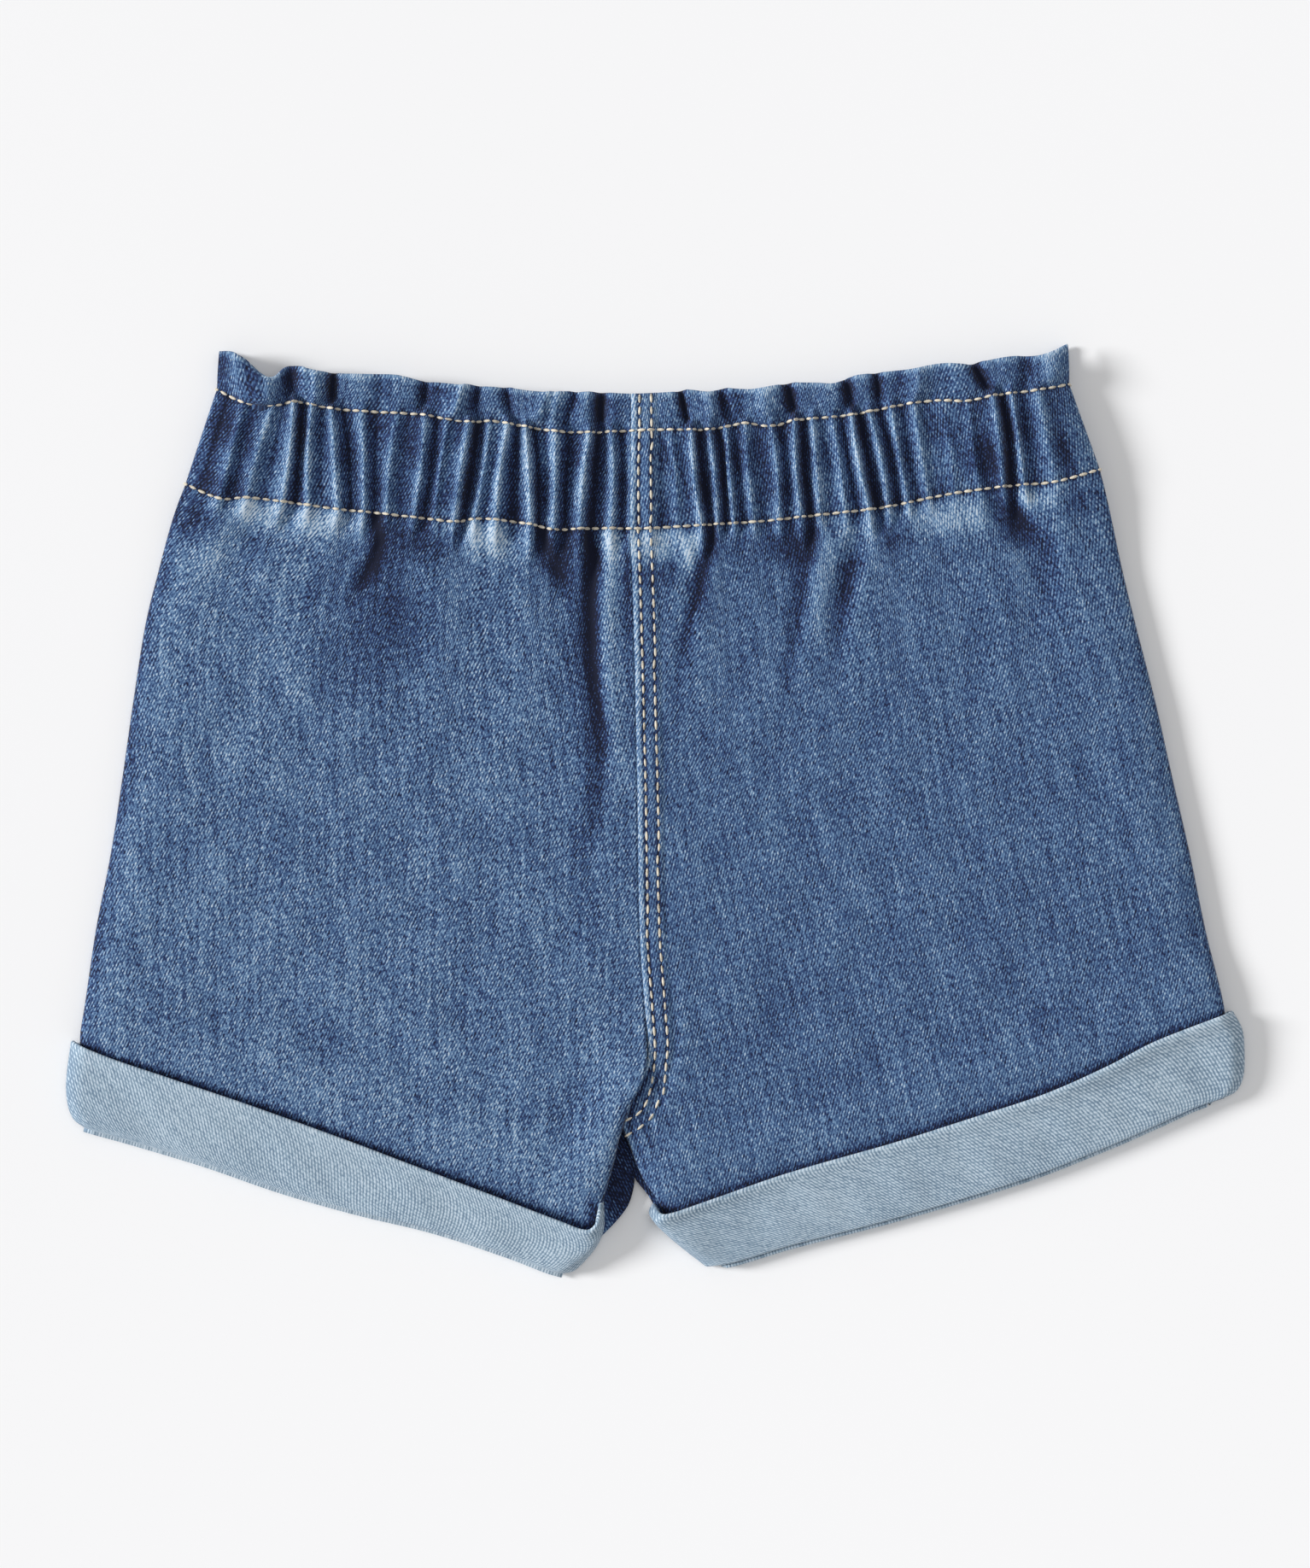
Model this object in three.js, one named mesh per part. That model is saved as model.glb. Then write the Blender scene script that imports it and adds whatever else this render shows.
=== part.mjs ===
// A toddler's pull-on denim shorts with a gathered paper-bag waist and turned-up cuffs,
// laid flat with the back up.
// Millimetres. X runs across the shorts, Y up to the waist, Z up from the surface they lie on.
import * as THREE from 'three';

// Cloth and seams
const CLOTH = 1.2;          // one layer of denim
const FRILL_CLOTH = 1.6;    // the frill is the denim folded double
const SEAM_GAP = 0.3;       // clearance between two pieces
const MOST_WALL = 3;        // a wall on a steep fold is cut no thicker than this, measured upright

// Heights
const DOME = 2.5;           // how far the back stands off the front in the middle
const SIDE_ROUND = 13;      // over this distance it comes down to a side
const CASING_FRONT = 3;     // height of the front half of the casing
const CASING_AIR = 1.6;     // how far the back casing stands off the front one
const CASING_LEAST = 1.5;   // casing wall in a valley
const PLEAT_RISE = 2.8;     // from the floor of a valley to the crest of the tallest pleat
const PINCH = 0.8;          // share of that rise left where a stitching row holds the pleats down
const PUFF = 0.6;           // swell of the casing between its two rows
const FRONT_PLEAT = 1.6;    // how far the front's gathers lift off the surface
const FRILL_LOW = 5.2;      // free edge of the frill in a valley
const FRILL_RISE = 5;       // and how much higher on a crest
const LAP = 0.5;            // thickness that the felled seat seam adds
const LAP_WIDTH = 6.4;      // width of that seam

// Cuffs
const CUFF_DEPTH = 20;
const CUFF_ROUND = 4.5;     // radius of a cuff's side, seen from the hem
const CUFF_STAND = 1.4;     // how far a cuff's top corners stand off the leg
const CUFF_CORNER = 18;     // within this length of its ends
const HEM_INSET = 1.9;      // the leg ends this far inside the fold of its cuff
const SIDE_INSET = 2.7;     // and this far inside the cuff's sides
const HEM_RAMP = 22;        // the leg rises over this length to lie inside its cuff

// A panel's length down its outer side, and down the seat seam and the inside leg
const OUTER_LENGTH = 162;
const INNER_LENGTH = 190;

// The waist, one row for each gather from the left side to the right side.
// top: where its crest crosses the upper stitching row, low: the lower row, tip: the frill's free edge.
// high: height of the crest, dip: height of the valley to its right, notch: where that valley lies on
// the way to the next crest, run: how far the gather runs on below the casing.
const GATHERS = [
  { top: [-111.9, 107.7], low: [-119.9, 83.6], tip: [-111.3, 116.6], high: 0.45, dip: 0.2, notch: 0.5, run: 8 },
  { top: [-104.7, 104.2], low: [-111.0, 79.8], tip: [-105.0, 116.4], high: 0.75, dip: 0.3, notch: 0.45, run: 10 },
  { top: [-97.3, 103.4], low: [-104.0, 80.0], tip: [-98.3, 110.4], high: 0.7, dip: 0.25, notch: 0.5, run: 14 },
  { top: [-91.9, 104.4], low: [-94.9, 79.0], tip: [-93.0, 113.2], high: 0.9, dip: 0.05, notch: 0.4, run: 16 },
  { top: [-87.3, 103.7], low: [-88.4, 78.1], tip: [-86.6, 112.1], high: 0.85, dip: 0.3, notch: 0.5, run: 12 },
  { top: [-82.4, 102.7], low: [-80.5, 77.0], tip: [-80.4, 111.2], high: 0.8, dip: 0.1, notch: 0.4, run: 14 },
  { top: [-74.8, 102.0], low: [-74.0, 76.4], tip: [-74.0, 111.0], high: 0.75, dip: 0.2, notch: 0.4, run: 18 },
  { top: [-65.6, 101.5], low: [-68.4, 75.8], tip: [-66.2, 110.8], high: 0.7, dip: 0.3, notch: 0.5, run: 12 },
  { top: [-58.4, 101.0], low: [-61.4, 75.0], tip: [-59.0, 109.2], high: 0.8, dip: 0.2, notch: 0.45, run: 12 },
  { top: [-52.8, 99.9], low: [-56.4, 74.4], tip: [-53.6, 108.8], high: 0.65, dip: 0.4, notch: 0.5, run: 10 },
  { top: [-47.2, 99.3], low: [-51.0, 73.9], tip: [-47.8, 108.3], high: 0.95, dip: 0, notch: 0.4, run: 16 },
  { top: [-42.3, 99.5], low: [-46.0, 74.6], tip: [-42.8, 107.8], high: 0.6, dip: 0.3, notch: 0.5, run: 12 },
  { top: [-37.5, 98.9], low: [-40.6, 74.4], tip: [-38.2, 107.6], high: 0.9, dip: 0.05, notch: 0.5, run: 18 },
  { top: [-32.9, 98.1], low: [-31.6, 73.2], tip: [-32.6, 106.9], high: 0.95, dip: 0, notch: 0.3, run: 20 },
  { top: [-25.3, 96.9], low: [-25.9, 71.9], tip: [-25.2, 106.5], high: 0.9, dip: 0.05, notch: 0.4, run: 18 },
  { top: [-16.6, 96.6], low: [-19.0, 72.1], tip: [-17.2, 106.5], high: 1, dip: 0, notch: 0.35, run: 26 },
  { top: [-11.2, 96.8], low: [-11.2, 72.2], tip: [-11.4, 106.2], high: 0.8, dip: 0.15, notch: 0.5, run: 14 },
  { top: [-6.2, 97.0], low: [-6.4, 72.1], tip: [-6.2, 106.0], high: 0.5, dip: 0.45, notch: 0.5, run: 10, seam: true },
  { top: [-1.5, 97.2], low: [-1.3, 72.2], tip: [-1.6, 106.1], high: 0.6, dip: 0.3, notch: 0.5, run: 12 },
  { top: [3.9, 97.3], low: [5.4, 72.6], tip: [3.6, 106.4], high: 0.5, dip: 0.3, notch: 0.5, run: 12 },
  { top: [9.2, 97.3], low: [11.8, 73.0], tip: [8.6, 107.0], high: 0.95, dip: 0.05, notch: 0.45, run: 22 },
  { top: [13.6, 97.4], low: [15.9, 73.3], tip: [13.3, 106.6], high: 0.85, dip: 0.1, notch: 0.5, run: 10 },
  { top: [17.9, 98.0], low: [20.0, 73.5], tip: [17.9, 107.4], high: 0.8, dip: 0.25, notch: 0.5, run: 8 },
  { top: [22.9, 98.9], low: [24.9, 73.8], tip: [24.0, 107.2], high: 0.75, dip: 0.3, notch: 0.5, run: 10 },
  { top: [29.6, 98.2], low: [31.4, 74.4], tip: [30.3, 108.2], high: 0.8, dip: 0.2, notch: 0.4, run: 12 },
  { top: [35.3, 99.7], low: [37.0, 75.1], tip: [35.4, 108.8], high: 0.9, dip: 0.05, notch: 0.5, run: 20 },
  { top: [39.8, 100.1], low: [41.8, 75.6], tip: [40.6, 108.8], high: 0.8, dip: 0.3, notch: 0.5, run: 12 },
  { top: [44.8, 100.5], low: [48.4, 76.3], tip: [45.6, 108.7], high: 0.6, dip: 0.15, notch: 0.5, run: 14 },
  { top: [49.9, 101.1], low: [54.4, 77.0], tip: [50.6, 110.6], high: 0.95, dip: 0, notch: 0.45, run: 16 },
  { top: [54.4, 101.9], low: [59.2, 77.7], tip: [55.2, 111.2], high: 0.85, dip: 0.15, notch: 0.5, run: 12 },
  { top: [59.9, 103.0], low: [64.2, 78.7], tip: [60.6, 111.8], high: 0.8, dip: 0.25, notch: 0.5, run: 10 },
  { top: [65.6, 104.1], low: [69.4, 79.8], tip: [66.2, 112.6], high: 0.75, dip: 0.35, notch: 0.5, run: 10 },
  { top: [72.4, 104.7], low: [76.2, 81.1], tip: [72.8, 113.7], high: 0.6, dip: 0.5, notch: 0.5, run: 8 },
  { top: [79.6, 104.6], low: [82.5, 82.0], tip: [80.4, 113.7], high: 0.65, dip: 0.35, notch: 0.5, run: 10 },
  { top: [85.9, 106.0], low: [88.4, 82.8], tip: [86.6, 114.9], high: 0.9, dip: 0.05, notch: 0.45, run: 20 },
  { top: [90.6, 106.6], low: [93.6, 83.3], tip: [91.4, 115.6], high: 0.85, dip: 0.25, notch: 0.4, run: 14 },
  { top: [97.3, 107.4], low: [102.2, 84.1], tip: [98.0, 115.9], high: 0.75, dip: 0.35, notch: 0.5, run: 10 },
  { top: [105.6, 109.0], low: [113.4, 87.3], tip: [105.2, 118.8], high: 0.45, dip: 0.3, notch: 0.5, run: 8 },
];
const SEAT_SEAM = GATHERS.findIndex((gather) => gather.seam);

// The seat seam from the casing down to the crotch, where the left leg's edge takes over.
const SEAM_LINE = [
  [-6.4, 72.1], [-6.0, 62.7], [-5.5, 46], [-5.1, 29.5], [-4.6, 5], [-4.0, -31.4], [-2.7, -50.3], [-2.1, -62.9],
];

// Each half: its gathers from the side to the seam, the outer side from the casing to the cuff, the
// inner side from the seam to the cuff, how far down that the crotch lies, how far the edge stands up
// there, whether the seat seam is lapped over it, and the four edges of its cuff. Every line runs from
// the outer side to the inner, or from the top to the bottom.
const HALVES = {
  left: {
    first: 0,
    last: SEAT_SEAM,
    outer: [
      [-119.9, 83.6], [-123.4, 74], [-127.1, 61], [-130.3, 47.9], [-133.4, 28.4], [-136.2, 8.8],
      [-139.2, -10.8], [-143.0, -30.3], [-145.8, -49.9], [-146.9, -58.6],
    ],
    inner: [
      ...SEAM_LINE, [-2.7, -66.6], [-3.8, -70.1], [-6.2, -74.7], [-7.7, -79.2], [-9.5, -83.4],
      [-11.9, -89.7], [-14.0, -94.6], [-15.6, -99.6],
    ],
    crotch: 0.74,
    bulge: 1,
    lapped: false,
    cuff: {
      top: [
        [-149.6, -59.0], [-138.8, -63.2], [-125.5, -67.3], [-101.6, -75.1], [-78.2, -83.6], [-61.6, -89.9],
        [-37.3, -99.2], [-24.0, -104.2], [-13.5, -105.6],
      ],
      bottom: [
        [-146.9, -80.6], [-133.8, -84.2], [-114.9, -89.9], [-95.5, -96.6], [-76.2, -102.1], [-56.8, -106.8],
        [-37.3, -113.2], [-22.6, -118.8],
      ],
      outer: [[-149.6, -59.0], [-150.8, -68.6], [-150.6, -74.5], [-149.2, -78.8], [-146.9, -80.6]],
      inner: [[-13.5, -105.6], [-13.4, -109.5], [-17.3, -114], [-22.6, -118.8]],
    },
  },
  right: {
    first: GATHERS.length - 1,
    last: SEAT_SEAM,
    outer: [
      [113.4, 87.3], [116.6, 74], [119.5, 61], [122.7, 47.9], [127.7, 28.4], [132.1, 8.8],
      [136.6, -10.8], [140.6, -30.3], [144.4, -46.0], [145.4, -51.8],
    ],
    inner: [
      ...SEAM_LINE, [-2.4, -66.6], [-3.4, -70.1], [-5.6, -74.7], [-6.6, -79.4], [-6.6, -83.4],
      [-5.0, -89.7], [-2.8, -94.4], [0.8, -99.6],
    ],
    crotch: 0.8,
    bulge: 0,
    lapped: true,
    cuff: {
      top: [
        [147.9, -51.2], [131.6, -57.3], [125.5, -59.9], [115.1, -65.1], [98.8, -72.1], [82.7, -77.3],
        [61, -84.2], [34, -92.5], [17.7, -97.9], [5.0, -100.9], [-1.5, -99.8],
      ],
      bottom: [
        [145.8, -73.0], [138.2, -75.5], [128.6, -79.9], [115.8, -85.5], [93.4, -94.2], [61, -104],
        [34, -111], [20.0, -115.2], [12.9, -116.4],
      ],
      outer: [[147.9, -51.2], [150.2, -55.6], [150.8, -61.4], [150.5, -67.7], [148.8, -71.4], [145.8, -73.0]],
      inner: [[-1.5, -99.8], [-1.2, -103.2], [1.4, -106.6], [5.5, -110.6], [12.9, -116.4]],
    },
  },
};

// Folds of the back, from photo left to right: path is the line of the fold, reach is how far it spreads
// to each side, rise is its height, less than nothing for a trough.
const FOLDS = [
  { path: [[-102.5, 77], [-95.5, 72]], reach: 7, rise: 0.7 },
  { path: [[-96.6, 74.5], [-112.7, 57.1]], reach: 8, rise: -0.9 },
  { path: [[-71.2, 75], [-73.8, 61.6], [-76.6, 54.9]], reach: 6, rise: -0.8 },
  { path: [[-49, 72], [-37, 66]], reach: 9, rise: 0.6 },
  { path: [[-49.9, 68.4], [-52.1, 51.6], [-57.7, 26.6]], reach: 10, rise: 0.8 },
  { path: [[-29.9, 69.5], [-24.5, 59.9], [-21.2, 46]], reach: 8, rise: -0.8 },
  { path: [[-15.5, 68.4], [-16.2, 37.7], [-13.8, 26.6], [-13.4, 12.7]], reach: 8, rise: -1.3 },
  { path: [[-10, 69.7], [-9.5, 58.8]], reach: 5, rise: 0.5 },
  { path: [[-3, 68.5], [6, 68]], reach: 8, rise: 0.6 },
  { path: [[9.7, 68.4], [11.4, 59.9]], reach: 5, rise: 0.6 },
  { path: [[13.2, 72], [12.5, 66.6], [7.5, 51.6], [5.8, 29.5]], reach: 7, rise: -1.2 },
  { path: [[38.6, 71], [38.6, 59.9], [34.7, 36]], reach: 7, rise: -1 },
  { path: [[43.6, 65.5], [41, 46], [38.5, 29.5]], reach: 8, rise: 0.7 },
  { path: [[51.4, 65.5], [46.8, 51.6], [45.1, 34.9]], reach: 7, rise: -0.9 },
  { path: [[60, 75.5], [85, 77]], reach: 9, rise: 0.7 },
  { path: [[89.5, 77], [98.8, 67], [99.2, 56], [94.9, 44.9]], reach: 8, rise: -1 },
  { path: [[-112, -20], [-84, -34]], reach: 20, rise: 0.5 },
  { path: [[-46, -52], [-30, -74]], reach: 16, rise: -0.6 },
  { path: [[70, -20], [104, -34]], reach: 20, rise: 0.5 },
  { path: [[34, -48], [22, -72]], reach: 16, rise: -0.6 },
];

// Where the meshes are cut into rows and columns
const PANEL_ROWS = [0, 0.02, 0.05, 0.09, 0.14, 0.2, 0.29, 0.4, 0.52, 0.64, 0.7, 0.74, 0.78, 0.83, 0.89, 1];
const PLAIN_ROWS = [0, 0.04, 0.08, 0.4, 0.64, 0.7, 0.74, 0.78, 0.83, 0.89, 1];
const CASING_ROWS = [0, 0.25, 0.6, 1];
const PLAIN_CASING_ROWS = [0, 0.5, 1];
const FRILL_ROWS = [0, 0.35, 0.7, 1];
const CUFF_ROWS = [0, 0.2, 0.45, 0.7, 0.9];
const CUFF_STEPS = 9;
const SIDE_ANGLES = [0, 30, 60, 90];

const mix = (a, b, t) => a + (b - a) * t;
const clamp = (t) => Math.min(1, Math.max(0, t));
const smooth = (t) => clamp(t) ** 2 * (3 - 2 * clamp(t));
const rounded = (t) => Math.sqrt(1 - (1 - clamp(t)) ** 2);

// A point on the smooth line through points, at share t of its length.
function along(points, t) {
  const at = [0];
  for (let i = 1; i < points.length; i += 1) {
    at.push(at[i - 1] + Math.hypot(points[i][0] - points[i - 1][0], points[i][1] - points[i - 1][1]));
  }
  const last = points.length - 1;
  const want = clamp(t) * at[last];
  let i = 0;
  while (i < last - 1 && want > at[i + 1]) i += 1;
  const span = at[i + 1] - at[i];
  const f = (want - at[i]) / span;
  const slope = (j, axis) => {
    const before = Math.max(0, j - 1);
    const after = Math.min(last, j + 1);
    return (points[after][axis] - points[before][axis]) / (at[after] - at[before]);
  };
  return [0, 1].map((axis) => (
    (1 + 2 * f) * (1 - f) ** 2 * points[i][axis]
    + f * (1 - f) ** 2 * span * slope(i, axis)
    + f * f * (3 - 2 * f) * points[i + 1][axis]
    - f * f * (1 - f) * span * slope(i + 1, axis)
  ));
}

// The patch between four edges: u runs from outer to inner, v from top to bottom.
function patch(top, bottom, outer, inner, u, v) {
  return [0, 1].map((axis) => (
    mix(top[axis], bottom[axis], v)
    + (1 - u) * (outer.point[axis] - mix(outer.start[axis], outer.end[axis], v))
    + u * (inner.point[axis] - mix(inner.start[axis], inner.end[axis], v))
  ));
}

const edge = (points, v) => ({ point: along(points, v), start: points[0], end: points[points.length - 1] });

// A place on the waist: station 3.5 is half way from gather 3 to gather 4.
function waist(station, level) {
  const i = Math.min(GATHERS.length - 2, Math.floor(station));
  const f = station - i;
  const at = (j) => GATHERS[Math.min(GATHERS.length - 1, Math.max(0, j))][level];
  return [0, 1].map((axis) => {
    const [a, b, c, d] = [at(i - 1)[axis], at(i)[axis], at(i + 1)[axis], at(i + 2)[axis]];
    return b + 0.5 * f * (c - a + f * (2 * a - 5 * b + 4 * c - d + f * (3 * (b - c) + d - a)));
  });
}

// How high the gathers stand at a station, from 0 to 1.
function gathered(station) {
  const i = Math.min(GATHERS.length - 2, Math.floor(station));
  const f = station - i;
  const { high, dip, notch } = GATHERS[i];
  if (f < notch) return mix(high, dip, 0.5 - 0.5 * Math.cos((Math.PI * f) / notch));
  return mix(dip, GATHERS[i + 1].high, 0.5 - 0.5 * Math.cos((Math.PI * (f - notch)) / (1 - notch)));
}

function runOf(station) {
  const i = Math.min(GATHERS.length - 2, Math.floor(station));
  return mix(GATHERS[i].run, GATHERS[i + 1].run, station - i);
}

const frontPleat = (station) => FRONT_PLEAT * clamp((gathered(station) - 0.3) / 0.7);

// The stations of one half, from its side to the seat seam: columns in each gather.
function stations(half, columns) {
  const list = [];
  const low = Math.min(half.first, half.last);
  const high = Math.max(half.first, half.last);
  for (let i = low; i < high; i += 1) {
    const { notch } = GATHERS[i];
    list.push(i, i + notch);
    if (columns > 2) list.push(i + (1 + notch) / 2);
  }
  list.push(high);
  return half.first > half.last ? list.reverse() : list;
}

function foldRelief(x, y) {
  let relief = 0;
  for (const { path, reach, rise } of FOLDS) {
    let nearest = reach;
    for (let i = 1; i < path.length; i += 1) {
      const [ax, ay] = path[i - 1];
      const [bx, by] = [path[i][0] - ax, path[i][1] - ay];
      const t = clamp(((x - ax) * bx + (y - ay) * by) / (bx * bx + by * by));
      nearest = Math.min(nearest, Math.hypot(x - ax - t * bx, y - ay - t * by));
    }
    relief += rise * (1 - (nearest / reach) ** 2) ** 2;
  }
  return relief;
}

function cuffPoint(half, u, v) {
  const { top, bottom, outer, inner } = half.cuff;
  return patch(along(top, u), along(bottom, u), edge(outer, v), edge(inner, v), u, v);
}

function cuffLength(half) {
  const [from, to] = [half.cuff.bottom[0], half.cuff.bottom.at(-1)];
  return Math.hypot(to[0] - from[0], to[1] - from[1]);
}

// The leg's sides run on inside the cuff to its hem.
function panelPoint(half, station, u, v) {
  const inset = SIDE_INSET / cuffLength(half);
  const hem = 1 - HEM_INSET / CUFF_DEPTH;
  const hemPoint = (t) => cuffPoint(half, mix(inset, 1 - inset, t), hem);
  const outer = [...half.outer, hemPoint(0)];
  const inner = [...half.inner, cuffPoint(half, 1 - 1.2 * inset, 0.35), hemPoint(1)];
  return patch(waist(station, 'low'), hemPoint(u), edge(outer, v), edge(inner, v), u, v);
}

// The back and front panels of a half, as rows of heights at each point.
function panelGrid(half, rows, columns) {
  const start = waist(half.first, 'low')[0];
  const width = waist(half.last, 'low')[0] - start;
  return rows.map((v) => stations(half, columns).map((station) => {
    const u = clamp((waist(station, 'low')[0] - start) / width);
    const [x, y] = panelPoint(half, station, u, v);
    const [left, right] = [panelPoint(half, half.first, 0, v), panelPoint(half, half.last, 1, v)];
    const span = Math.hypot(left[0] - right[0], left[1] - right[1]);
    const fromInner = (1 - u) * span;
    const down = v * mix(OUTER_LENGTH, INNER_LENGTH, u);
    const toHem = (1 - v) * mix(OUTER_LENGTH, INNER_LENGTH, u);
    const hemLift = (CLOTH + SEAM_GAP) * smooth((CUFF_DEPTH + HEM_RAMP - toHem) / HEM_RAMP);
    const frontUnder = hemLift + frontPleat(station) * (1 - smooth(down / 12));
    const leg = smooth((v - half.crotch + 0.03) / 0.08);
    const side = rounded((u * span) / SIDE_ROUND);
    const inside = mix(1, rounded(fromInner / SIDE_ROUND), leg);
    const swell = side * inside;
    const waistLift = (2.1 - swell) * (1 - smooth(down / 26));
    const pleat = PLEAT_RISE * PINCH * gathered(station) * swell * (1 - smooth(down / runOf(station)));
    const lap = half.lapped && fromInner < LAP_WIDTH && v < half.crotch ? LAP : 0;
    const nearCrotch = smooth(1 - Math.abs(v - half.crotch) / 0.12) * smooth(1 - fromInner / 16);
    const fold = foldRelief(x, y) * swell * (1 - 0.6 * smooth((20 - down) / 20)) * smooth(toHem / 36);
    const backUnder = hemLift + CLOTH + SEAM_GAP + DOME * swell + waistLift + pleat + fold
      + half.bulge * nearCrotch;
    return { x, y, frontUnder, backOver: backUnder + CLOTH + lap };
  }));
}

// Casing heights at a station, row 0 on the upper stitching and 1 on the lower.
function casingAt(half, station, row) {
  const [top, low] = [waist(station, 'top'), waist(station, 'low')];
  const [x, y] = [mix(top[0], low[0], row), mix(top[1], low[1], row)];
  const start = mix(waist(half.first, 'top')[0], waist(half.first, 'low')[0], row);
  const swell = rounded(Math.abs(x - start) / SIDE_ROUND);
  const swing = Math.sin(Math.PI * row);
  const pleat = PLEAT_RISE * mix(PINCH, 1, swing) * gathered(station) * swell;
  const lap = half.lapped && x - waist(half.last, 'low')[0] < LAP_WIDTH ? LAP : 0;
  const backUnder = CASING_FRONT + SEAM_GAP + CASING_AIR * swell + 0.35 * pleat;
  const backOver = backUnder + CASING_LEAST + 0.65 * pleat + PUFF * swing * swell + lap;
  return { x, y, backUnder, backOver, frontUnder: frontPleat(station), frontOver: CASING_FRONT };
}

// Frill heights at a station, row 0 on the upper stitching and 1 at the free edge.
function frillAt(half, station, row) {
  const [top, tip] = [waist(station, 'top'), waist(station, 'tip')];
  const [x, y] = [mix(top[0], tip[0], row), mix(top[1], tip[1], row)];
  const foot = casingAt(half, station, 0);
  const swell = rounded(Math.abs(top[0] - waist(half.first, 'top')[0]) / SIDE_ROUND);
  const free = FRILL_LOW + FRILL_RISE * gathered(station) * mix(0.6, 1, swell);
  const backOver = mix(foot.backOver, free, smooth(row * 0.8 + 0.2));
  return { x, y, backOver, frontUnder: frontPleat(station) * mix(1, 0.85, row) };
}

// A closed wall between two grids of points.
function wall(over, under) {
  const [rows, columns] = [over.length, over[0].length];
  const positions = [...over.flat(), ...under.flat()].flat();
  const at = (layer, row, column) => layer * rows * columns + row * columns + column;
  const faces = [];
  const quad = (a, b, c, d) => faces.push([a, b, c], [a, c, d]);
  for (let r = 0; r < rows - 1; r += 1) {
    for (let c = 0; c < columns - 1; c += 1) {
      quad(at(0, r, c), at(0, r, c + 1), at(0, r + 1, c + 1), at(0, r + 1, c));
      quad(at(1, r, c), at(1, r + 1, c), at(1, r + 1, c + 1), at(1, r, c + 1));
    }
    quad(at(0, r, 0), at(0, r + 1, 0), at(1, r + 1, 0), at(1, r, 0));
    quad(at(0, r, columns - 1), at(1, r, columns - 1), at(1, r + 1, columns - 1), at(0, r + 1, columns - 1));
  }
  for (let c = 0; c < columns - 1; c += 1) {
    quad(at(0, 0, c), at(1, 0, c), at(1, 0, c + 1), at(0, 0, c + 1));
    quad(at(0, rows - 1, c), at(0, rows - 1, c + 1), at(1, rows - 1, c + 1), at(1, rows - 1, c));
  }
  const point = (i) => new THREE.Vector3(...positions.slice(3 * i, 3 * i + 3));
  const volume = faces.reduce((sum, [a, b, c]) => sum + point(a).dot(point(b).cross(point(c))), 0);
  const index = faces.flatMap(([a, b, c]) => (volume > 0 ? [a, b, c] : [a, c, b]));
  const geometry = new THREE.BufferGeometry();
  geometry.setAttribute('position', new THREE.Float32BufferAttribute(positions, 3));
  geometry.setIndex(index);
  geometry.computeVertexNormals();
  return geometry;
}

// How much deeper an upright measure through a wall is where the wall leans.
function lean(grid, r, c, key) {
  const here = grid[r][c];
  const near = [grid[r][c - 1], grid[r][c + 1]].filter(Boolean);
  const slopes = near.map((p) => Math.abs(p[key] - here[key]) / Math.hypot(p.x - here.x, p.y - here.y));
  return Math.sqrt(1 + Math.max(...slopes) ** 2);
}

// Draws the ends of a grid in by half the seam gap where it meets its neighbours.
function shrink(grid) {
  const draw = (p, q) => {
    const length = Math.hypot(q.x - p.x, q.y - p.y);
    const share = SEAM_GAP / 2 / length;
    return { ...p, x: mix(p.x, q.x, share), y: mix(p.y, q.y, share) };
  };
  const columns = grid[0].length;
  const narrowed = grid.map((row) => row.map((p, c) => (c === columns - 1 ? draw(p, row[c - 1]) : p)));
  return narrowed.map((row, r) => row.map((p, c) => {
    if (r === 0) return draw(p, narrowed[1][c]);
    return r === narrowed.length - 1 ? draw(p, narrowed[r - 1][c]) : p;
  }));
}

const denim = (name, color) => {
  const material = new THREE.MeshStandardMaterial({ color, roughness: 0.92, metalness: 0 });
  material.name = name;
  material.flatShading = true;
  return material;
};
const SHADES = { left: '#576e8f', right: '#4f668a' };
const REVERSE = '#95a9bb';

const shorts = new THREE.Group();
function add(name, geometry, color) {
  const mesh = new THREE.Mesh(geometry, denim(name, color));
  mesh.name = name;
  shorts.add(mesh);
}

// The points of a grid at one of its heights, let down by drop.
const points = (grid, key, drop = () => 0) => (
  grid.map((row, r) => row.map((p, c) => [p.x, p.y, p[key] - drop(r, c)])));

// A wall of one thickness under the heights that a grid holds as backOver.
function topWall(grid, thick) {
  const deep = (r, c) => Math.min(MOST_WALL, thick * lean(grid, r, c, 'backOver'));
  return wall(points(grid, 'backOver'), points(grid, 'backOver', deep));
}

// A wall of one thickness on the heights that a grid holds as frontUnder.
const floorWall = (grid, thick) => wall(points(grid, 'frontUnder', () => -thick), points(grid, 'frontUnder'));

for (const [side, half] of Object.entries(HALVES)) {
  const color = SHADES[side];

  const grid = (heights, rows, columns) => shrink(rows.map((row) => (
    stations(half, columns).map((station) => heights(half, station, row)))));

  add(`back_panel_${side}`, topWall(shrink(panelGrid(half, PANEL_ROWS, 2)), CLOTH), color);
  add(`front_panel_${side}`, floorWall(shrink(panelGrid(half, PLAIN_ROWS, 2)), CLOTH), color);

  const casing = grid(casingAt, CASING_ROWS, 3);
  add(`casing_back_${side}`, wall(points(casing, 'backOver'), points(casing, 'backUnder')), color);
  const plain = grid(casingAt, PLAIN_CASING_ROWS, 2);
  add(`casing_front_${side}`, wall(points(plain, 'frontOver'), points(plain, 'frontUnder')), color);

  add(`frill_back_${side}`, topWall(grid(frillAt, FRILL_ROWS, 3), FRILL_CLOTH), color);
  add(`frill_front_${side}`, floorWall(grid(frillAt, PLAIN_CASING_ROWS, 2), FRILL_CLOTH), color);

  const cuff = cuffWalls(half);
  add(`cuff_back_${side}`, cuff.back, REVERSE);
  add(`cuff_front_${side}`, cuff.front, REVERSE);
}

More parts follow.
